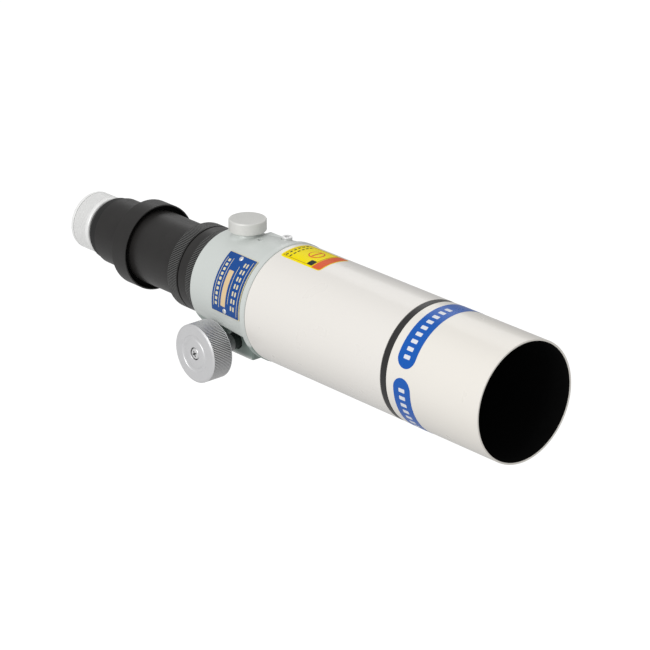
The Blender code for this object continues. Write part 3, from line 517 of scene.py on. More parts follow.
def turned(node, kind, outline, body, look, turn="+X", place=(0, 0, 0), cuts=(), **shape):
    """A turned piece in a CAD node's place. cuts are the steps for combine(), if there are any."""
    name = f"{node}_{kind}"
    obj = new_object(name, turned_mesh(name, outline, **shape), placed(place, turn))
    if cuts:
        combine(obj, cuts)
    place_piece(obj, body, look, [node])


def lining(name, outline, body):
    """A matt black lining, or a black sheet of painted shade, turned round the optical axis. It stands for
    no CAD node.
    """
    place_piece(new_object(name, turned_mesh(name, outline), TURN["+X"]), body, FLOCK)


def thin(front, rear, radius):
    return ring(front, rear, radius + LINING, radius - LINING)


def block_mesh(name, low, high, bevel=0.0):
    shape = bmesh.new()
    bmesh.ops.create_cube(shape, size=1.0)
    bmesh.ops.scale(shape, vec=[b - a for a, b in zip(low, high)], verts=shape.verts)
    bmesh.ops.translate(shape, vec=[(a + b) / 2 for a, b in zip(low, high)], verts=shape.verts)
    if bevel:
        edges, segments = shape.edges[:], CORNER_POINTS
        bmesh.ops.bevel(shape, geom=edges, offset=bevel, segments=segments, profile=0.5, affect="EDGES")
    return mesh_from(shape, name)


def cut(mesh, matrix=None):
    return "DIFFERENCE", mesh, matrix


def join(mesh, matrix=None):
    return "UNION", mesh, matrix


def combine(obj, steps):
    """Applies the steps that cut() and join() give, and keeps the result as obj's mesh."""
    helpers = []
    for operation, mesh, matrix in steps:
        helper = new_object("helper", mesh, matrix)
        helper.hide_render = True
        helpers.append(helper)
        modifier = obj.modifiers.new(operation, "BOOLEAN")
        modifier.operation = operation
        modifier.object = helper
        modifier.solver = "MANIFOLD"
    bake_modifiers(obj)
    finish_mesh(obj.data)
    for helper in helpers:
        bpy.data.objects.remove(helper)


def wrapped(name, span, edges, radius_at, thickness, look, nodes=(), lift=0.00003, columns=24):
    """A thin plate on the tube body that lies round the optical axis.

    span is its (rear, front) x, edges(x) gives its low and high angle there from +Y towards
    +Z, and radius_at(x) the radius of the surface below it.
    """
    middle, half = (span[0] + span[1]) / 2, (span[1] - span[0]) / 2
    low, high = edges(middle)
    rows = max(12, int(64 * (high - low)))
    shape = bmesh.new()
    layers = []
    for height in (lift, lift + thickness):
        grid = []
        for i in range(columns + 1):
            x = middle - half * math.cos(math.pi * i / columns)
            low, high = edges(x)
            r = radius_at(x) + height
            line = []
            for j in range(rows + 1):
                angle = low + (high - low) * j / rows
                line.append(shape.verts.new((x, r * math.cos(angle), r * math.sin(angle))))
            grid.append(line)
        layers.append(grid)
    bottom, top = layers
    for i in range(columns):
        for j in range(rows):
            square = ((i, j), (i + 1, j), (i + 1, j + 1), (i, j + 1))
            shape.faces.new([top[a][b] for a, b in square])
            shape.faces.new([bottom[a][b] for a, b in square[::-1]])
    sides = [((i, j), (i + 1, j)) for i in range(columns) for j in (0, rows)]
    sides += [((i, j), (i, j + 1)) for j in range(rows) for i in (0, columns)]
    for (a, b), (c, d) in sides:
        shape.faces.new((bottom[a][b], bottom[c][d], top[c][d], top[a][b]))
    bmesh.ops.remove_doubles(shape, verts=shape.verts, dist=1e-7)
    bmesh.ops.recalc_face_normals(shape, faces=shape.faces)
    place_piece(new_object(name, mesh_from(shape, name)), "tube", look, nodes)


def rounded_patch(span, angles, radius, corner):
    """edges() for wrapped(): a rectangle round a cylinder, with rounded corners."""
    rear, front = span
    low, high = angles

    def edges(x):
        inset = 0.0
        depth = min(x - rear, front - x)
        if depth < corner:
            inset = (corner - math.sqrt(max(0.0, corner**2 - (corner - depth) ** 2))) / radius
        return low + inset, high - inset

    return edges


# ---- Optical tube.


def optical_tube():
    shield = ring(SHIELD_FRONT, SHIELD_REAR, TUBE_RADIUS, SHIELD_INNER + LINING)
    turned("dew_shield", "shell", rounded(shield, 0.0004), "tube", SHIELD_WHITE)
    lining("dew_shield_lining", thin(SHIELD_FRONT - 0.0003, 0.0785, SHIELD_INNER), "tube")
    tube = ring(TUBE_FRONT, TUBE_REAR, TUBE_RADIUS, TUBE_INNER + LINING)
    turned("main_tube", "shell", rounded(tube, 0.0003), "tube", WHITE)
    lining("main_tube_lining", thin(0.0490, -0.0540, TUBE_INNER), "tube")


def lens_cell():
    thread, wall = 0.0382, TUBE_RADIUS - 0.0001
    cell = [
        (0.0780, thread), (RING_FRONT, thread), (RING_FRONT, wall), (RING_REAR, wall),
        (RING_REAR, 0.0376), (0.0500, 0.0376), (0.0500, 0.0298), (0.0581, 0.0298),
        (0.0581, 0.0314), (0.0703, 0.0314), (0.0703, 0.0340), (0.0780, 0.0340),
    ]
    turned("lens_cell", "turned", rounded(cell, 0.0003), "tube", BLACK)
    retainer = [(0.0740, 0.0337), (0.0706, 0.0337), (0.0706, 0.0302), (0.0728, 0.0302), (0.0740, 0.0314)]
    turned("lens_retaining_ring", "turned", rounded(retainer, 0.0002), "tube", DULL_BLACK)
    for node, front, front_sign, rear, rear_sign in (
        ("objective_front_lens", 0.0725, -1, 0.0643, 1),
        ("objective_rear_lens", 0.0629, 1, 0.0584, 0),
    ):
        outline = lens_face(front, front_sign)[::-1] + lens_face(rear, rear_sign)
        turned(node, "ground", outline, "tube", GLASS)
    turned("lens_spacer", "turned", ring(0.0663, 0.0657, LENS_RADIUS, 0.0303), "tube", DULL_BLACK)


def lens_face(vertex, sign):
    """Points from the rim to the axis of a lens face. sign 0 is flat."""
    points = []
    count = 12
    for i in range(count + 1):
        radius = LENS_RADIUS * (count - i) / count
        sag = LENS_CURVE - math.sqrt(LENS_CURVE**2 - radius**2)
        points.append((vertex + sign * sag, radius))
    return points


def baffles():
    """Short sleeves with an inward flange, whose edge is bevelled to the rear."""
    outer, wall, length = 0.0377, 0.0010, 0.0060
    for side, front, aperture in (("front", 0.0240, 0.0285), ("rear", -0.0140, 0.0255)):
        outline = [
            (front, outer), (front - length, outer), (front - length, outer - wall),
            (front - wall, outer - wall), (front - wall, aperture + 0.0006), (front, aperture),
        ]
        turned(f"tube_baffle_{side}", "turned", outline, "tube", FLOCK)


def on_tube(x):
    """Radius of the tube's surface, the same at every x."""
    return TUBE_RADIUS


FILM = 0.00008
FIRST_LAYER, SECOND_LAYER, THIRD_LAYER = 0.00012, 0.00020, 0.00028


def mark(name, spot, size, look, lift=FIRST_LAYER):
    """A patch on the tube about a spot of (x, degrees).

    size is its length, its width and the share of its shorter half that the corners round off.
    """
    length, width, roundness = size
    middle, half_turn = math.radians(spot[1]), width / 2 / TUBE_RADIUS
    span = (spot[0] - length / 2, spot[0] + length / 2)
    angles = (middle - half_turn, middle + half_turn)
    shape = rounded_patch(span, angles, TUBE_RADIUS, 0.5 * min(length, width) * roundness)
    wrapped(name, span, shape, on_tube, FILM, look, lift=lift)


def tube_label():
    """A yellow label with an orange band, and plain marks without lettering."""
    rear, front, band_rear = -0.0610, -0.0230, -0.0312
    low, high = math.radians(71), math.radians(109)
    corner = 0.0022
    base = rounded_patch((rear, front), (low, high), TUBE_RADIUS, corner)
    wrapped("label_base", (rear, front), base, on_tube, FILM, YELLOW)

    # The band follows the label's outline, in by a margin.
    margin = 0.0006
    turn = margin / TUBE_RADIUS
    inner = (rear + margin, front - margin)
    shape = rounded_patch(inner, (low + turn, high - turn), TUBE_RADIUS, corner - margin)
    wrapped("label_band", (band_rear, inner[1]), shape, on_tube, FILM, ORANGE, lift=FIRST_LAYER)

    # A thin darker frame, as four strips.
    margin, width = 0.0016, 0.00035
    turn, strip = margin / TUBE_RADIUS, width / TUBE_RADIUS
    x0, x1 = rear + margin, band_rear - 0.0008
    a0, a1 = low + turn, high - turn
    strips = (
        ((x0, x0 + width), (a0, a1)),
        ((x1 - width, x1), (a0, a1)),
        ((x0, x1), (a0, a0 + strip)),
        ((x0, x1), (a1 - strip, a1)),
    )
    for number, (span, angles) in enumerate(strips, 1):
        name = f"label_frame_{number}"
        shape = rounded_patch(span, angles, TUBE_RADIUS, 0.0)
        wrapped(name, span, shape, on_tube, FILM, AMBER, lift=FIRST_LAYER, columns=6)

    # A ring with a bar, a dark block beside the band, and two rows of dashes.
    spot, outer, inner = (-0.0415, 88.0), 0.0110, 0.0092
    mark("label_ring", spot, (outer, outer, 1.0), ORANGE)
    mark("label_ring_field", spot, (inner, inner, 1.0), YELLOW, SECOND_LAYER)
    mark("label_ring_bar", spot, (0.0012, inner, 1.0), ORANGE, THIRD_LAYER)
    mark("label_block", (-0.0348, 102.5), (0.0048, 0.0050, 0.3), INK)
    for row, x in enumerate((-0.0575, -0.0540)):
        for column in range(6):
            mark(f"label_dash_{row}_{column}", (x, 104.0 - 5.0 * column), (0.0010, 0.0022, 0.5), INK)


def shield_bands():
    """Two blue bands with round ends round the dew shield, each with a row of plain blocks."""
    rear, front = 0.0760, 0.0910
    gap, gap_middle = math.radians(9), math.radians(167.5)
    sweep = math.pi - gap
    for name, start, near, step in (
        ("shield_band_upper", gap_middle - gap / 2 - sweep, 152.5, -7.6),
        ("shield_band_lower", gap_middle + gap / 2, 183.5, 7.6),
    ):
        shape = rounded_patch((rear, front), (start, start + sweep), TUBE_RADIUS, (front - rear) / 2)
        wrapped(name, (rear, front), shape, on_tube, FILM, PILL_BLUE, columns=32)
        for number in range(9):
            spot = ((rear + front) / 2, near + step * number)
            mark(f"{name}_block_{number}", spot, (0.0052, 0.0026, 0.35), PALE)


# ---- Focuser.


def rough_casting():
    """The casting's outside with its flank hollows, foot and boss, all softly rounded."""
    start = -0.0660
    cone = [
        (start, 0), (start, CONE_FRONT_RADIUS), (LIP_REAR, CONE_FRONT_RADIUS),
        (CONE_REAR, CONE_REAR_RADIUS), (CONE_REAR, 0),
    ]
    mesh = turned_mesh("focuser_casting", cone, ROUGH)
    mesh.transform(TURN["+X"])
    obj = new_object("focuser_casting", mesh)
    core = rod(-0.0600, -0.1290, 0.0312)
    steps = []
    for near, far in ((0.0150, 0.0450), (-0.0450, -0.0150)):
        low, high = (-0.1090, near, -0.0450), (-0.0695, far, -0.0165)
        flank = new_object("flank", block_mesh("flank", low, high))
        combine(flank, [cut(turned_mesh("core", core, ROUGH), TURN["+X"])])
        steps.append(cut(flank.data))
        bpy.data.objects.remove(flank)
    low, high = (-0.1180, -0.0180, HOUSING_BOTTOM), (-0.0832, 0.0180, -0.0200)
    housing = block_mesh("housing", low, high, 0.0016)
    foot = block_mesh("foot", (-0.1015, 0.0, 0.0200), (-0.0760, 0.0140, FOOT_TOP), 0.0008)
    boss = [(0.0383, 0), (0.0383, 0.0093), (0.0365, 0.0096), (0.0340, 0.0116), (0.0200, 0.0125), (0.0200, 0)]
    boss_mesh = turned_mesh("boss", boss, SMALL)
    combine(obj, steps + [join(housing), join(foot), join(boss_mesh, placed((LOCK_X, 0, 0)))])
    remesh = obj.modifiers.new("Cast", "REMESH")
    remesh.mode = "VOXEL"
    remesh.voxel_size = 0.0006
    soften = obj.modifiers.new("Soften", "SMOOTH")
    soften.factor = 0.5
    soften.iterations = 5
    bake_modifiers(obj)
    finish_mesh(obj.data)
    return obj


def casting():
    """The painted casting. Its lip, spigot and openings are machined, so they stay crisp."""
    lip = [
        (SPIGOT_FRONT, 0), (SPIGOT_FRONT, SPIGOT_RADIUS), (LIP_FRONT, SPIGOT_RADIUS), (LIP_FRONT, 0.0400),
        (LIP_FRONT - 0.0004, LIP_RADIUS), (LIP_REAR + 0.0006, LIP_RADIUS), (LIP_REAR, CONE_FRONT_RADIUS),
        (LIP_REAR, 0),
    ]
    rear_ring = [(CONE_REAR + 0.0015, 0)]
    rear_ring += [(CONE_REAR + step, cone_radius(CONE_REAR + step)) for step in (0.0015, 0.0003)]
    rear_ring += [(CONE_REAR, CONE_REAR_RADIUS - 0.0004), (CONE_REAR, 0)]
    bore = [
        (SPIGOT_FRONT + 0.002, 0), (SPIGOT_FRONT + 0.002, SPIGOT_BORE), (-0.0670, SPIGOT_BORE),
        (LIP_REAR, BODY_BORE), (CONE_REAR - 0.002, BODY_BORE), (CONE_REAR - 0.002, 0),
    ]
    chamfer, side, past = 0.0004, 0.0180, 0.0500
    wide = BEARING_BORE + chamfer
    bearing_bore = [
        (past, 0), (past, wide), (side, wide), (side - chamfer, BEARING_BORE),
        (chamfer - side, BEARING_BORE), (-side, wide), (-past, wide), (-past, 0),
    ]
    groove = ring(LIP_REAR - 0.0005, LIP_REAR, 0.0420, 0.0390)
    channel = block_mesh("channel", (-0.1300, -0.0042, -0.0291), (-0.0670, 0.0042, -0.0150))
    turnings = (join, lip), (join, rear_ring), (cut, groove), (cut, bore)
    steps = [step(turned_mesh("turning", outline), TURN["+X"]) for step, outline in turnings]
    steps.append(cut(channel))
    steps.append(cut(turned_mesh("bearing_bore", bearing_bore, 64), placed(PINION, "+Y")))
    # Room for the pinion, and the seat of its cover.
    for half, wall, bottom, top, bevel in (
        (0.0076, 0.0125, COVER_TOP - 0.0010, -0.0270, 0.0),
        (0.0133, 0.0143, -0.0450, COVER_TOP + 0.0003, 0.0003),
    ):
        low, high = (PINION_X - half, -wall, bottom), (PINION_X + half, wall, top)
        steps.append(cut(block_mesh("pocket", low, high, bevel)))
    outside = 0.0450
    holes = [(-0.0430, -0.0330, 0.0015, placed((x, y, 0))) for x, y in COVER_SCREWS]
    holes += [
        (0.0200, outside, 0.0032, placed((LOCK_X, 0, 0))),
        (0.0255, outside, 0.0018, placed((*TENSION_SCREW, 0))),
        (FOOT_TOP, outside, 0.0041, placed((*FOOT_SCREW, 0))),
        (0.0290, outside, 0.0023, placed((*FOOT_SCREW, 0))),
    ]
    for angle in PLATE_SCREW_ANGLES:
        bottom = cone_radius(PLATE_SCREW_X) - 0.0040
        holes.append((bottom, outside, 0.0011, placed((PLATE_SCREW_X, 0, 0), radial(angle))))
    for bottom, top, radius, matrix in holes:
        steps.append(cut(turned_mesh("hole", rod(top, bottom, radius), SMALL), matrix))
    obj = rough_casting()
    combine(obj, steps)
    place_piece(obj, "tube", CAST_MINT, ["focuser_body"])


def plate_edges(inset):
    """edges() for wrapped(): the plate's outline, in by an inset along the cone's surface."""

    def edges(x):
        reach = (PLATE_WIDTH / 2 - inset) / cone_radius(x)
        return PLATE_MIDDLE - reach, PLATE_MIDDLE + reach

    return edges


def on_plate_seat(x):
    return cone_radius(x) + PLATE_GAP


def name_plate():
    """Blue plate with a pale border, an inset bar, plain rules and dashes. It has no lettering."""
    span, inset = (PLATE_REAR, PLATE_FRONT), 0.0006
    border = plate_edges(0.0)
    wrapped("plate_border", span, border, on_plate_seat, PLATE_THICKNESS, PLATE_TRIM, ["nameplate"])
    # The blue field stands 0.3 mm above the border's face, and the marks lie on the field.
    span, lift = (PLATE_REAR + inset, PLATE_FRONT - inset), PLATE_THICKNESS + 0.00034
    wrapped("plate_field", span, plate_edges(inset), on_plate_seat, 0.00006, PLATE_BLUE, lift=lift)
    lift += 0.00008
    # Each mark has its rear and front x, and its low and high angle in degrees.
    bars = [
        ("plate_bar", -0.0907, -0.0857, 142.0, 178.5, PLATE_TAN),
        ("plate_rule_1", -0.0990, -0.0986, 130.0, 181.5, PLATE_TRIM),
        ("plate_rule_2", -0.0930, -0.0926, 130.0, 181.5, PLATE_TRIM),
        ("plate_rule_3", -0.0834, -0.0830, 136.0, 174.0, PLATE_TRIM),
        ("plate_rule_4", -0.0733, -0.0729, 128.0, 182.5, PLATE_TRIM),
    ]
    dashes = (
        (-0.0971, -0.0948, 131.5, 10, 5.0),
        (-0.0800, -0.0785, 131.0, 7, 7.2),
        (-0.0772, -0.0757, 131.0, 7, 7.2),
    )
    for row, (rear, front, low, count, pitch) in enumerate(dashes):
        for column in range(count):
            start = low + pitch * column
            name = f"plate_dash_{row}_{column}"
            bars.append((name, rear, front, start, start + 0.62 * pitch, PLATE_TRIM))
    middle = cone_radius((PLATE_REAR + PLATE_FRONT) / 2)
    for name, rear, front, low, high, look in bars:
        angles = (math.radians(low), math.radians(high))
        shape = rounded_patch((rear, front), angles, middle, min(0.0004, (front - rear) / 2))
        wrapped(name, (rear, front), shape, on_plate_seat, 0.00005, look, lift=lift, columns=10)


def cross_screw(node, body, turn, place, seat, size, look=SCREW, spin=0.0):
    """A pan-head screw with a cross recess. seat is how far its head stands along the turn."""
    radius, height, shank, length = size
    top = seat + height
    dome = [
        (top, 0), (top, 0.35 * radius), (top - 0.10 * height, 0.70 * radius),
        (top - 0.35 * height, 0.93 * radius), (top - 0.65 * height, radius), (seat, radius),
        (seat, shank), (seat - length, shank), (seat - length, 0),
    ]
    reach, half, bottom = 0.58 * radius, 0.14 * radius, top - 0.75 * height
    matrix = placed(place, turn) @ Matrix.Rotation(spin, 4, "Z")
    cuts = []
    for x, y in ((reach, half), (half, reach)):
        cuts.append(cut(block_mesh("recess", (-x, -y, bottom), (x, y, top + height), 0.04 * radius), matrix))
    turned(node, "head", rounded(dome, 0.06 * radius), body, look, turn, place, cuts, steps=SMALL)


def socket_screw(node, outline, place, look, socket, steps):
    """A screw with a six-sided socket. socket is its (top, bottom, radius)."""
    cuts = [cut(turned_mesh("socket", rod(*socket), 6), placed(place))]
    turned(node, "head", outline, "tube", look, "+Z", place, cuts, steps=steps)


def small_screws():
    seat = cone_radius(PLATE_SCREW_X) + PLATE_GAP + 0.0006 + 0.0001
    for number, angle in enumerate(PLATE_SCREW_ANGLES, 1):
        place = (PLATE_SCREW_X, 0, 0)
        cross_screw(f"nameplate_screw_{number}", "tube", radial(angle), place, seat, PLATE_SCREW_SIZE)
    seat = -HOUSING_BOTTOM - 0.0010
    for number, (x, y) in enumerate(COVER_SCREWS, 1):
        cross_screw(f"pinion_cover_screw_{number}", "tube", "-Z", (x, y, 0), seat, COVER_SCREW_SIZE)
    seat, spin = KNOB_SCREW_SEAT, math.radians(25)
    for side, turn in SIDES:
        node = f"focus_knob_screw_{side}"
        cross_screw(node, "focus_shaft", turn, PINION, seat, KNOB_SCREW_SIZE, KNOB_SCREW, spin)

    # Socket-head screw of the finder foot.
    seat, radius, height = FOOT_TOP + 0.0003, 0.0035, 0.0026
    shank, end = 0.0020, seat - 0.0060
    top = seat + height
    head = [(top, 0), (top, radius), (seat, radius), (seat, shank), (end, shank), (end, 0)]
    socket = (seat + 0.01, seat + 0.0009, 0.0017)
    socket_screw("finder_foot_screw", rounded(head, 0.0003), (*FOOT_SCREW, 0), SCREW, socket, 64)

    # Headless set screw that presses on the drawtube.
    grub, socket = rod(0.0364, 0.0290, 0.0015), (0.0400, 0.0350, 0.0008)
    socket_screw("tension_screw", rounded(grub, 0.0002), (*TENSION_SCREW, 0), STEEL, socket, 32)


def pinion_cover():
    low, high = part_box("pinion_cover")
    obj = new_object("pinion_cover_plate", block_mesh("pinion_cover_plate", low, high, 0.0004))
    steps = []
    for x, y in COVER_SCREWS:
        for top, radius in ((-0.0350, 0.0015), (HOUSING_BOTTOM + 0.0013, 0.0025)):
            hole = turned_mesh("hole", rod(top, -0.0450, radius), SMALL)
            steps.append(cut(hole, placed((x, y, 0))))
    combine(obj, steps)
    place_piece(obj, "tube", MINT, ["pinion_cover"])


def pinion_parts():
    """Shaft and the two black sleeves that it turns in."""
    drill = rod(0.0480, 0.0380, 0.0018)
    cuts = [cut(turned_mesh("drill", drill, SMALL), placed(PINION, turn)) for _, turn in SIDES]
    shaft = rounded(rod(0.0470, -0.0470, SHAFT_RADIUS), 0.0003)
    turned("pinion_shaft", "turned", shaft, "focus_shaft", STEEL, "+Y", PINION, cuts, steps=SMALL)
    sleeve = rounded(ring(KNOB_HUB_END - 0.0003, 0.0070, BEARING_RADIUS, SHAFT_RADIUS + 0.0003), 0.0004)
    for side, turn in SIDES:
        turned(f"pinion_bearing_{side}", "sleeve", sleeve, "tube", BLOCK, turn, PINION, steps=ROUGH)


def guide_rings():
    for side, front, rear in (("front", -0.0730, -0.0850), ("rear", -0.1150, -0.1270)):
        slot = block_mesh("slot", (-0.1300, -0.0040, -0.0400), (-0.0600, 0.0040, -0.0200))
        outline = rounded(ring(front, rear, 0.0280, 0.0265), 0.0002)
        turned(f"guide_ring_{side}", "sleeve", outline, "tube", BLOCK, cuts=[cut(slot)])


def focus_knobs():
    """Straight-knurled knobs with a ring groove in the face and a sunk screw."""
    face, back, groove = KNOB_FACE, KNOB_BACK, KNOB_FACE - 0.0005
    radius, hub, bore, screw_bore = KNOB_RADIUS, KNOB_HUB_RADIUS, 0.0028, 0.0021
    outline = [
        # Seat of the screw.
        (KNOB_FLOOR, screw_bore), (KNOB_FLOOR, 0.0040), (KNOB_FLOOR + 0.0003, 0.0043),
        (face - 0.0002, 0.0043), (face, 0.0045),
        # Groove with sloping sides.
        (face, 0.0094), (face - 0.0001, 0.0096), (groove + 0.0001, 0.0100), (groove, 0.0102),
        (groove, 0.0121), (groove + 0.0001, 0.0123), (face - 0.0001, 0.0127), (face, 0.0129),
        # Chamfered rim, and the knurled side.
        (face, 0.0184), (face - 0.0001, 0.0187), (face - 0.0006, 0.0193), (face - 0.0007, radius - 0.0001),
        (face - 0.0008, radius), (face - 0.0011, radius, KNOB_FLUTE), (back + 0.0008, radius, KNOB_FLUTE),
        (back + 0.0004, radius - 0.0001), (back, radius - 0.0006),
        # Hub and bore.
        (back, hub + 0.0004), (back - 0.0003, hub), (KNOB_HUB_END + 0.0003, hub),
        (KNOB_HUB_END, hub - 0.0003), (KNOB_HUB_END, bore), (0.0473, bore), (0.0473, screw_bore),
    ]
    for side, turn in SIDES:
        turned(f"focus_knob_{side}", "knurled", outline, "focus_shaft", SILVER, turn, PINION, flutes=108)


def lock_parts():
    """Lock knob with fine ridges round its side, its stud, and the pad that it presses down."""
    top, bottom, radius = LOCK_TOP, LOCK_BOTTOM, LOCK_RADIUS
    upper, lower = top - 0.0008, bottom + 0.0005
    ridges, bore, bore_top = 10, 0.0028, 0.0440
    pitch = (upper - lower) / ridges
    side = []
    for i in range(ridges):
        start = upper - pitch * i
        side += [(start, radius), (start - 0.75 * pitch, radius), (start - 0.875 * pitch, radius - 0.0001)]
    crown = [(top, 0), (top, radius - 0.0008), (top - 0.0002, radius - 0.0004)]
    skirt = [(lower, radius), (bottom, radius - 0.0004), (bottom, bore), (bore_top, bore), (bore_top, 0)]
    outline, place = crown + side + skirt, (LOCK_X, 0, 0)
    turned("lock_knob", "turned", outline, "lock_knob", PEARL, "+Z", place, steps=128)
    stud = rounded(rod(0.0437, 0.0288, 0.0025), 0.0003)
    turned("lock_stud", "turned", stud, "lock_knob", STEEL, "+Z", place, steps=SMALL)
    pad = rounded(rod(0.0285, 0.0265, 0.0028), 0.0003)
    turned("lock_pad", "turned", pad, "lock_pad", BRASS, "+Z", place, steps=SMALL)


# ---- Drawtube and the pieces behind it.


def drawtube_parts():
    cuts = [cut(block_mesh("seat", (-0.1103, -0.0035, -0.0300), (-0.0597, 0.0035, -0.0250)))]
    for _, x in RACK_SCREWS:
        cuts.append(cut(turned_mesh("hole", rod(-0.0200, -0.0270, 0.0013), SMALL), placed((x, 0, 0))))
    tube = rounded(ring(-0.0380, -0.1430, 0.0262, 0.0238), 0.0003)
    turned("drawtube", "polished", tube, "drawtube", CHROME, cuts=cuts)
    lining("drawtube_lining", thin(-0.0385, -0.1425, 0.0238), "drawtube")
    for side, x in RACK_SCREWS:
        cross_screw(f"rack_screw_{side}", "drawtube", "+Z", (x, 0, 0), -0.0235, RACK_SCREW_SIZE)


def rear_rings():
    """Collar, coupling ring, extension tube and flanged back, one behind the other."""
    knurl, radius, body = KNURL_DEPTH, BLACK_RING_RADIUS, "drawtube"
    collar = [
        (-0.1279, 0.0266), (-0.1279, radius - 0.0006), (-0.1281, radius - 0.0003), (-0.1285, radius, knurl),
        (-0.1377, radius, knurl), (-0.1380, radius), (-0.1452, radius), (-0.1455, radius - 0.0003),
        (-0.1455, 0.0288), (-0.1463, 0.0288), (-0.1463, 0.0243), (-0.1433, 0.0243), (-0.1433, 0.0266),
    ]
    turned("drawtube_collar", "knurled", collar[::-1], body, COLLAR_BLACK, flutes=160)
    coupling = [
        (-0.1466, 0.0258), (-0.1466, radius - 0.0004), (-0.1469, radius), (-0.1472, radius, knurl),
        (-0.1562, radius, knurl), (-0.1565, radius), (-0.1568, radius - 0.0004), (-0.1568, 0.0258),
    ]
    turned("coupling_ring", "knurled", coupling[::-1], body, COUPLING_BLACK, flutes=160)
    tube = rounded(ring(-0.1469, -0.2107, 0.0255, 0.0228), 0.0002)
    turned("extension_tube", "turned", tube, body, BLACK)
    lining("extension_tube_lining", thin(-0.1475, -0.2103, 0.0228), body)
    flange_front, flange_floor, neck_rear, shoulder = -0.2014, -0.2050, -0.2436, -0.2330
    back = [
        (flange_front, 0.0300), (-0.2160, 0.0300), (-0.2160, 0.0234), (neck_rear, 0.0234),
        (neck_rear, 0.0192), (shoulder, 0.0192), (shoulder, 0.0170), (-0.2110, 0.0222),
        (-0.2110, 0.0258), (flange_floor, 0.0258), (flange_floor, 0.0289), (flange_front, 0.0289),
    ]
    turned("visual_back", "turned", rounded(back, 0.0005), body, BLACK)
    # A black sheet on the wall and floor of the flange's recess, as painted shade there.
    recess = [
        (-0.2019, 0.0290), (-0.2052, 0.0290), (-0.2052, 0.0257), (-0.2049, 0.0257),
        (-0.2049, 0.0288), (-0.2019, 0.0288),
    ]
    lining("flange_recess_painted_shade", recess, body)


def eyepiece_holder():
    bore, stop, front, step = 0.01595, 0.0150, -0.2333, -0.2439
    adapter = [
        (front, 0.0189), (step, 0.0189), (step, 0.0225), (-0.2502, 0.0219), (-0.2546, 0.0190),
        (-0.2546, 0.0179), (-0.2660, 0.0179), (-0.2660, bore), (-0.2362, bore), (-0.2362, stop),
        (front, stop),
    ]
    turned("eyepiece_adapter", "turned", rounded(adapter, 0.0003), "drawtube", DULL_BLACK)
    split = cut(block_mesh("split", (-0.2800, -0.0008, -0.0300), (-0.2600, 0.0008, 0.0)))
    outline = rounded(ring(-0.2663, -0.2693, 0.0177, bore), 0.0002)
    turned("compression_ring", "split", outline, "compression_ring", BRASS, cuts=[split])

    knurl, radius = CLAMP_FLUTE, CLAMP_RADIUS
    collar = [
        (-0.2549, 0.0182), (-0.2549, 0.0193), (-0.2552, 0.0198), (-0.2557, 0.0202), (-0.2561, radius),
        (-0.2579, radius), (-0.2582, radius, knurl), (-0.2703, radius, knurl), (-0.2706, radius - 0.0001),
        (-0.2707, 0.0194), (-0.2713, 0.0194), (-0.2714, radius - 0.0001), (-0.2716, radius),
        (-0.2731, radius), (-0.2734, radius - 0.0001), (-0.2735, radius - 0.0004), (-0.2735, 0.0168),
        (-0.2732, 0.0164), (-0.2696, 0.0164), (-0.2696, 0.0182),
    ]
    turned("clamping_collar", "knurled", collar[::-1], "clamping_collar", BRIGHT, flutes=160)


def carried_nodes():
    """CAD nodes whose shape stays, with a finished material."""
    for name in ("drawtube_rack", "pinion_gear"):
        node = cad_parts[name]
        node.data.materials.clear()
        node.data.materials.append(STEEL)


# ---- Studio.


def seen_or_not(tree, socket, unseen, seen):
    """Feeds a socket one value for camera rays, and another for all other rays."""
    camera_ray = add_node(tree, "LightPath").outputs["Is Camera Ray"]
    ramp = add_node(tree, "MapRange", To_Min=unseen, To_Max=seen, Value=camera_ray)
    feed(tree, socket, ramp.outputs["Result"])


def pale_floor():
    """Paper that the camera sees nearly white, while its bounce light stays moderate and even."""
    paper = bpy.data.materials.new("pale_floor")
    paper.use_nodes = True
    tree = paper.node_tree
    shader, output = tree.nodes["Principled BSDF"], tree.nodes["Material Output"]
    shader.inputs["Base Color"].default_value = (0.80, 0.80, 0.80, 1.0)
    shader.inputs["Roughness"].default_value = 1.0
    shader.inputs["Specular IOR Level"].default_value = 0.0
    mix = add_node(tree, "MixShader")
    glow = add_node(tree, "Emission")
    seen_or_not(tree, mix.inputs["Fac"], 0.70, 0.90)
    seen_or_not(tree, glow.inputs["Strength"], 0.50, 1.12)
    feed(tree, mix.inputs[1], shader.outputs["BSDF"])
    feed(tree, mix.inputs[2], glow.outputs["Emission"])
    feed(tree, output.inputs["Surface"], mix.outputs["Shader"])
    paper.cycles.emission_sampling = "NONE"
    return paper


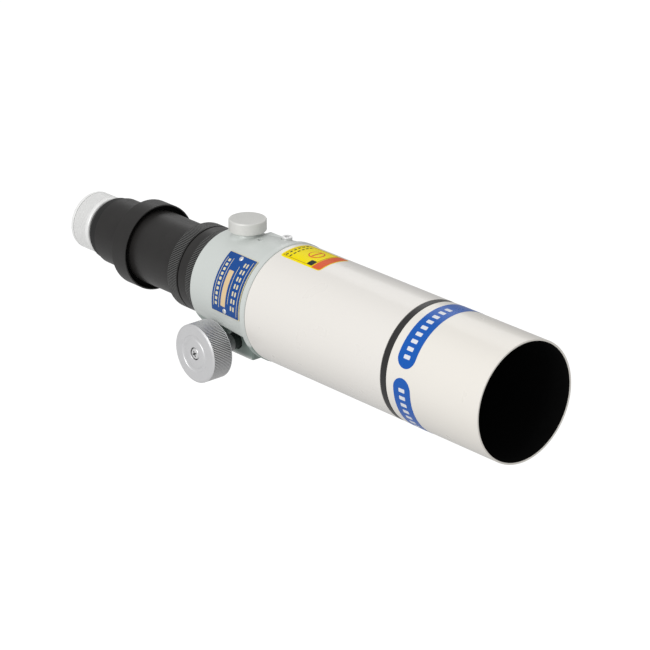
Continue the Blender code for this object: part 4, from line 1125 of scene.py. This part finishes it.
def studio():
    scene = bpy.context.scene
    world = bpy.data.worlds.new("studio")
    world.use_nodes = True
    background = world.node_tree.nodes["Background"]
    background.inputs["Color"].default_value = (1.0, 1.0, 1.0, 1.0)
    seen_or_not(world.node_tree, background.inputs["Strength"], 0.41, 1.0)
    scene.world = world
    scene.view_settings.view_transform = "Standard"

    height, reach = -0.30, 40.0
    corners = [(x * reach, y * reach, height) for x, y in ((-1, -1), (1, -1), (1, 1), (-1, 1))]
    floor = bpy.data.meshes.new("floor")
    floor.from_pydata(corners, [], [(0, 1, 2, 3)])
    ground = new_object("floor", floor)
    floor.materials.append(pale_floor())

    middle = Vector((-0.06, 0, 0))
    for name, spot, size, power in (
        ("key", (-0.3, -0.7, 1.6), 1.2, 5.6),
        ("front", (0.2, -1.6, 0.75), 0.9, 13.8),
        ("side", (1.6, -0.7, 0.5), 0.8, 2.5),
        ("back", (-0.8, 0.9, 1.0), 1.0, 3.2),
    ):
        lamp = bpy.data.lights.new(name, "AREA")
        lamp.shape = "SQUARE"
        lamp.size = size
        lamp.energy = power
        obj = bpy.data.objects.new(name, lamp)
        obj.location = spot
        obj.rotation_euler = (middle - Vector(spot)).to_track_quat("-Z", "Y").to_euler()
        scene.collection.objects.link(obj)


def camera():
    azimuth, elevation = math.radians(48.458), math.radians(22.215)
    distance = 2.080519
    target = Vector((-0.032081, 0.0, -0.005289))
    level = math.cos(elevation)
    back = Vector((math.sin(azimuth) * level, -math.cos(azimuth) * level, math.sin(elevation)))
    lens = bpy.data.cameras.new("camera")
    lens.sensor_width = 36.0
    lens.lens = 179.05
    lens.clip_end = 100.0
    obj = bpy.data.objects.new("camera", lens)
    obj.location = target + back * distance
    obj.rotation_euler = (-back).to_track_quat("-Z", "Y").to_euler()
    bpy.context.scene.collection.objects.link(obj)
    bpy.context.scene.camera = obj


optical_tube()
lens_cell()
baffles()
tube_label()
shield_bands()
casting()
name_plate()
small_screws()
pinion_cover()
pinion_parts()
guide_rings()
focus_knobs()
lock_parts()
drawtube_parts()
rear_rings()
eyepiece_holder()
carried_nodes()
studio()
camera()
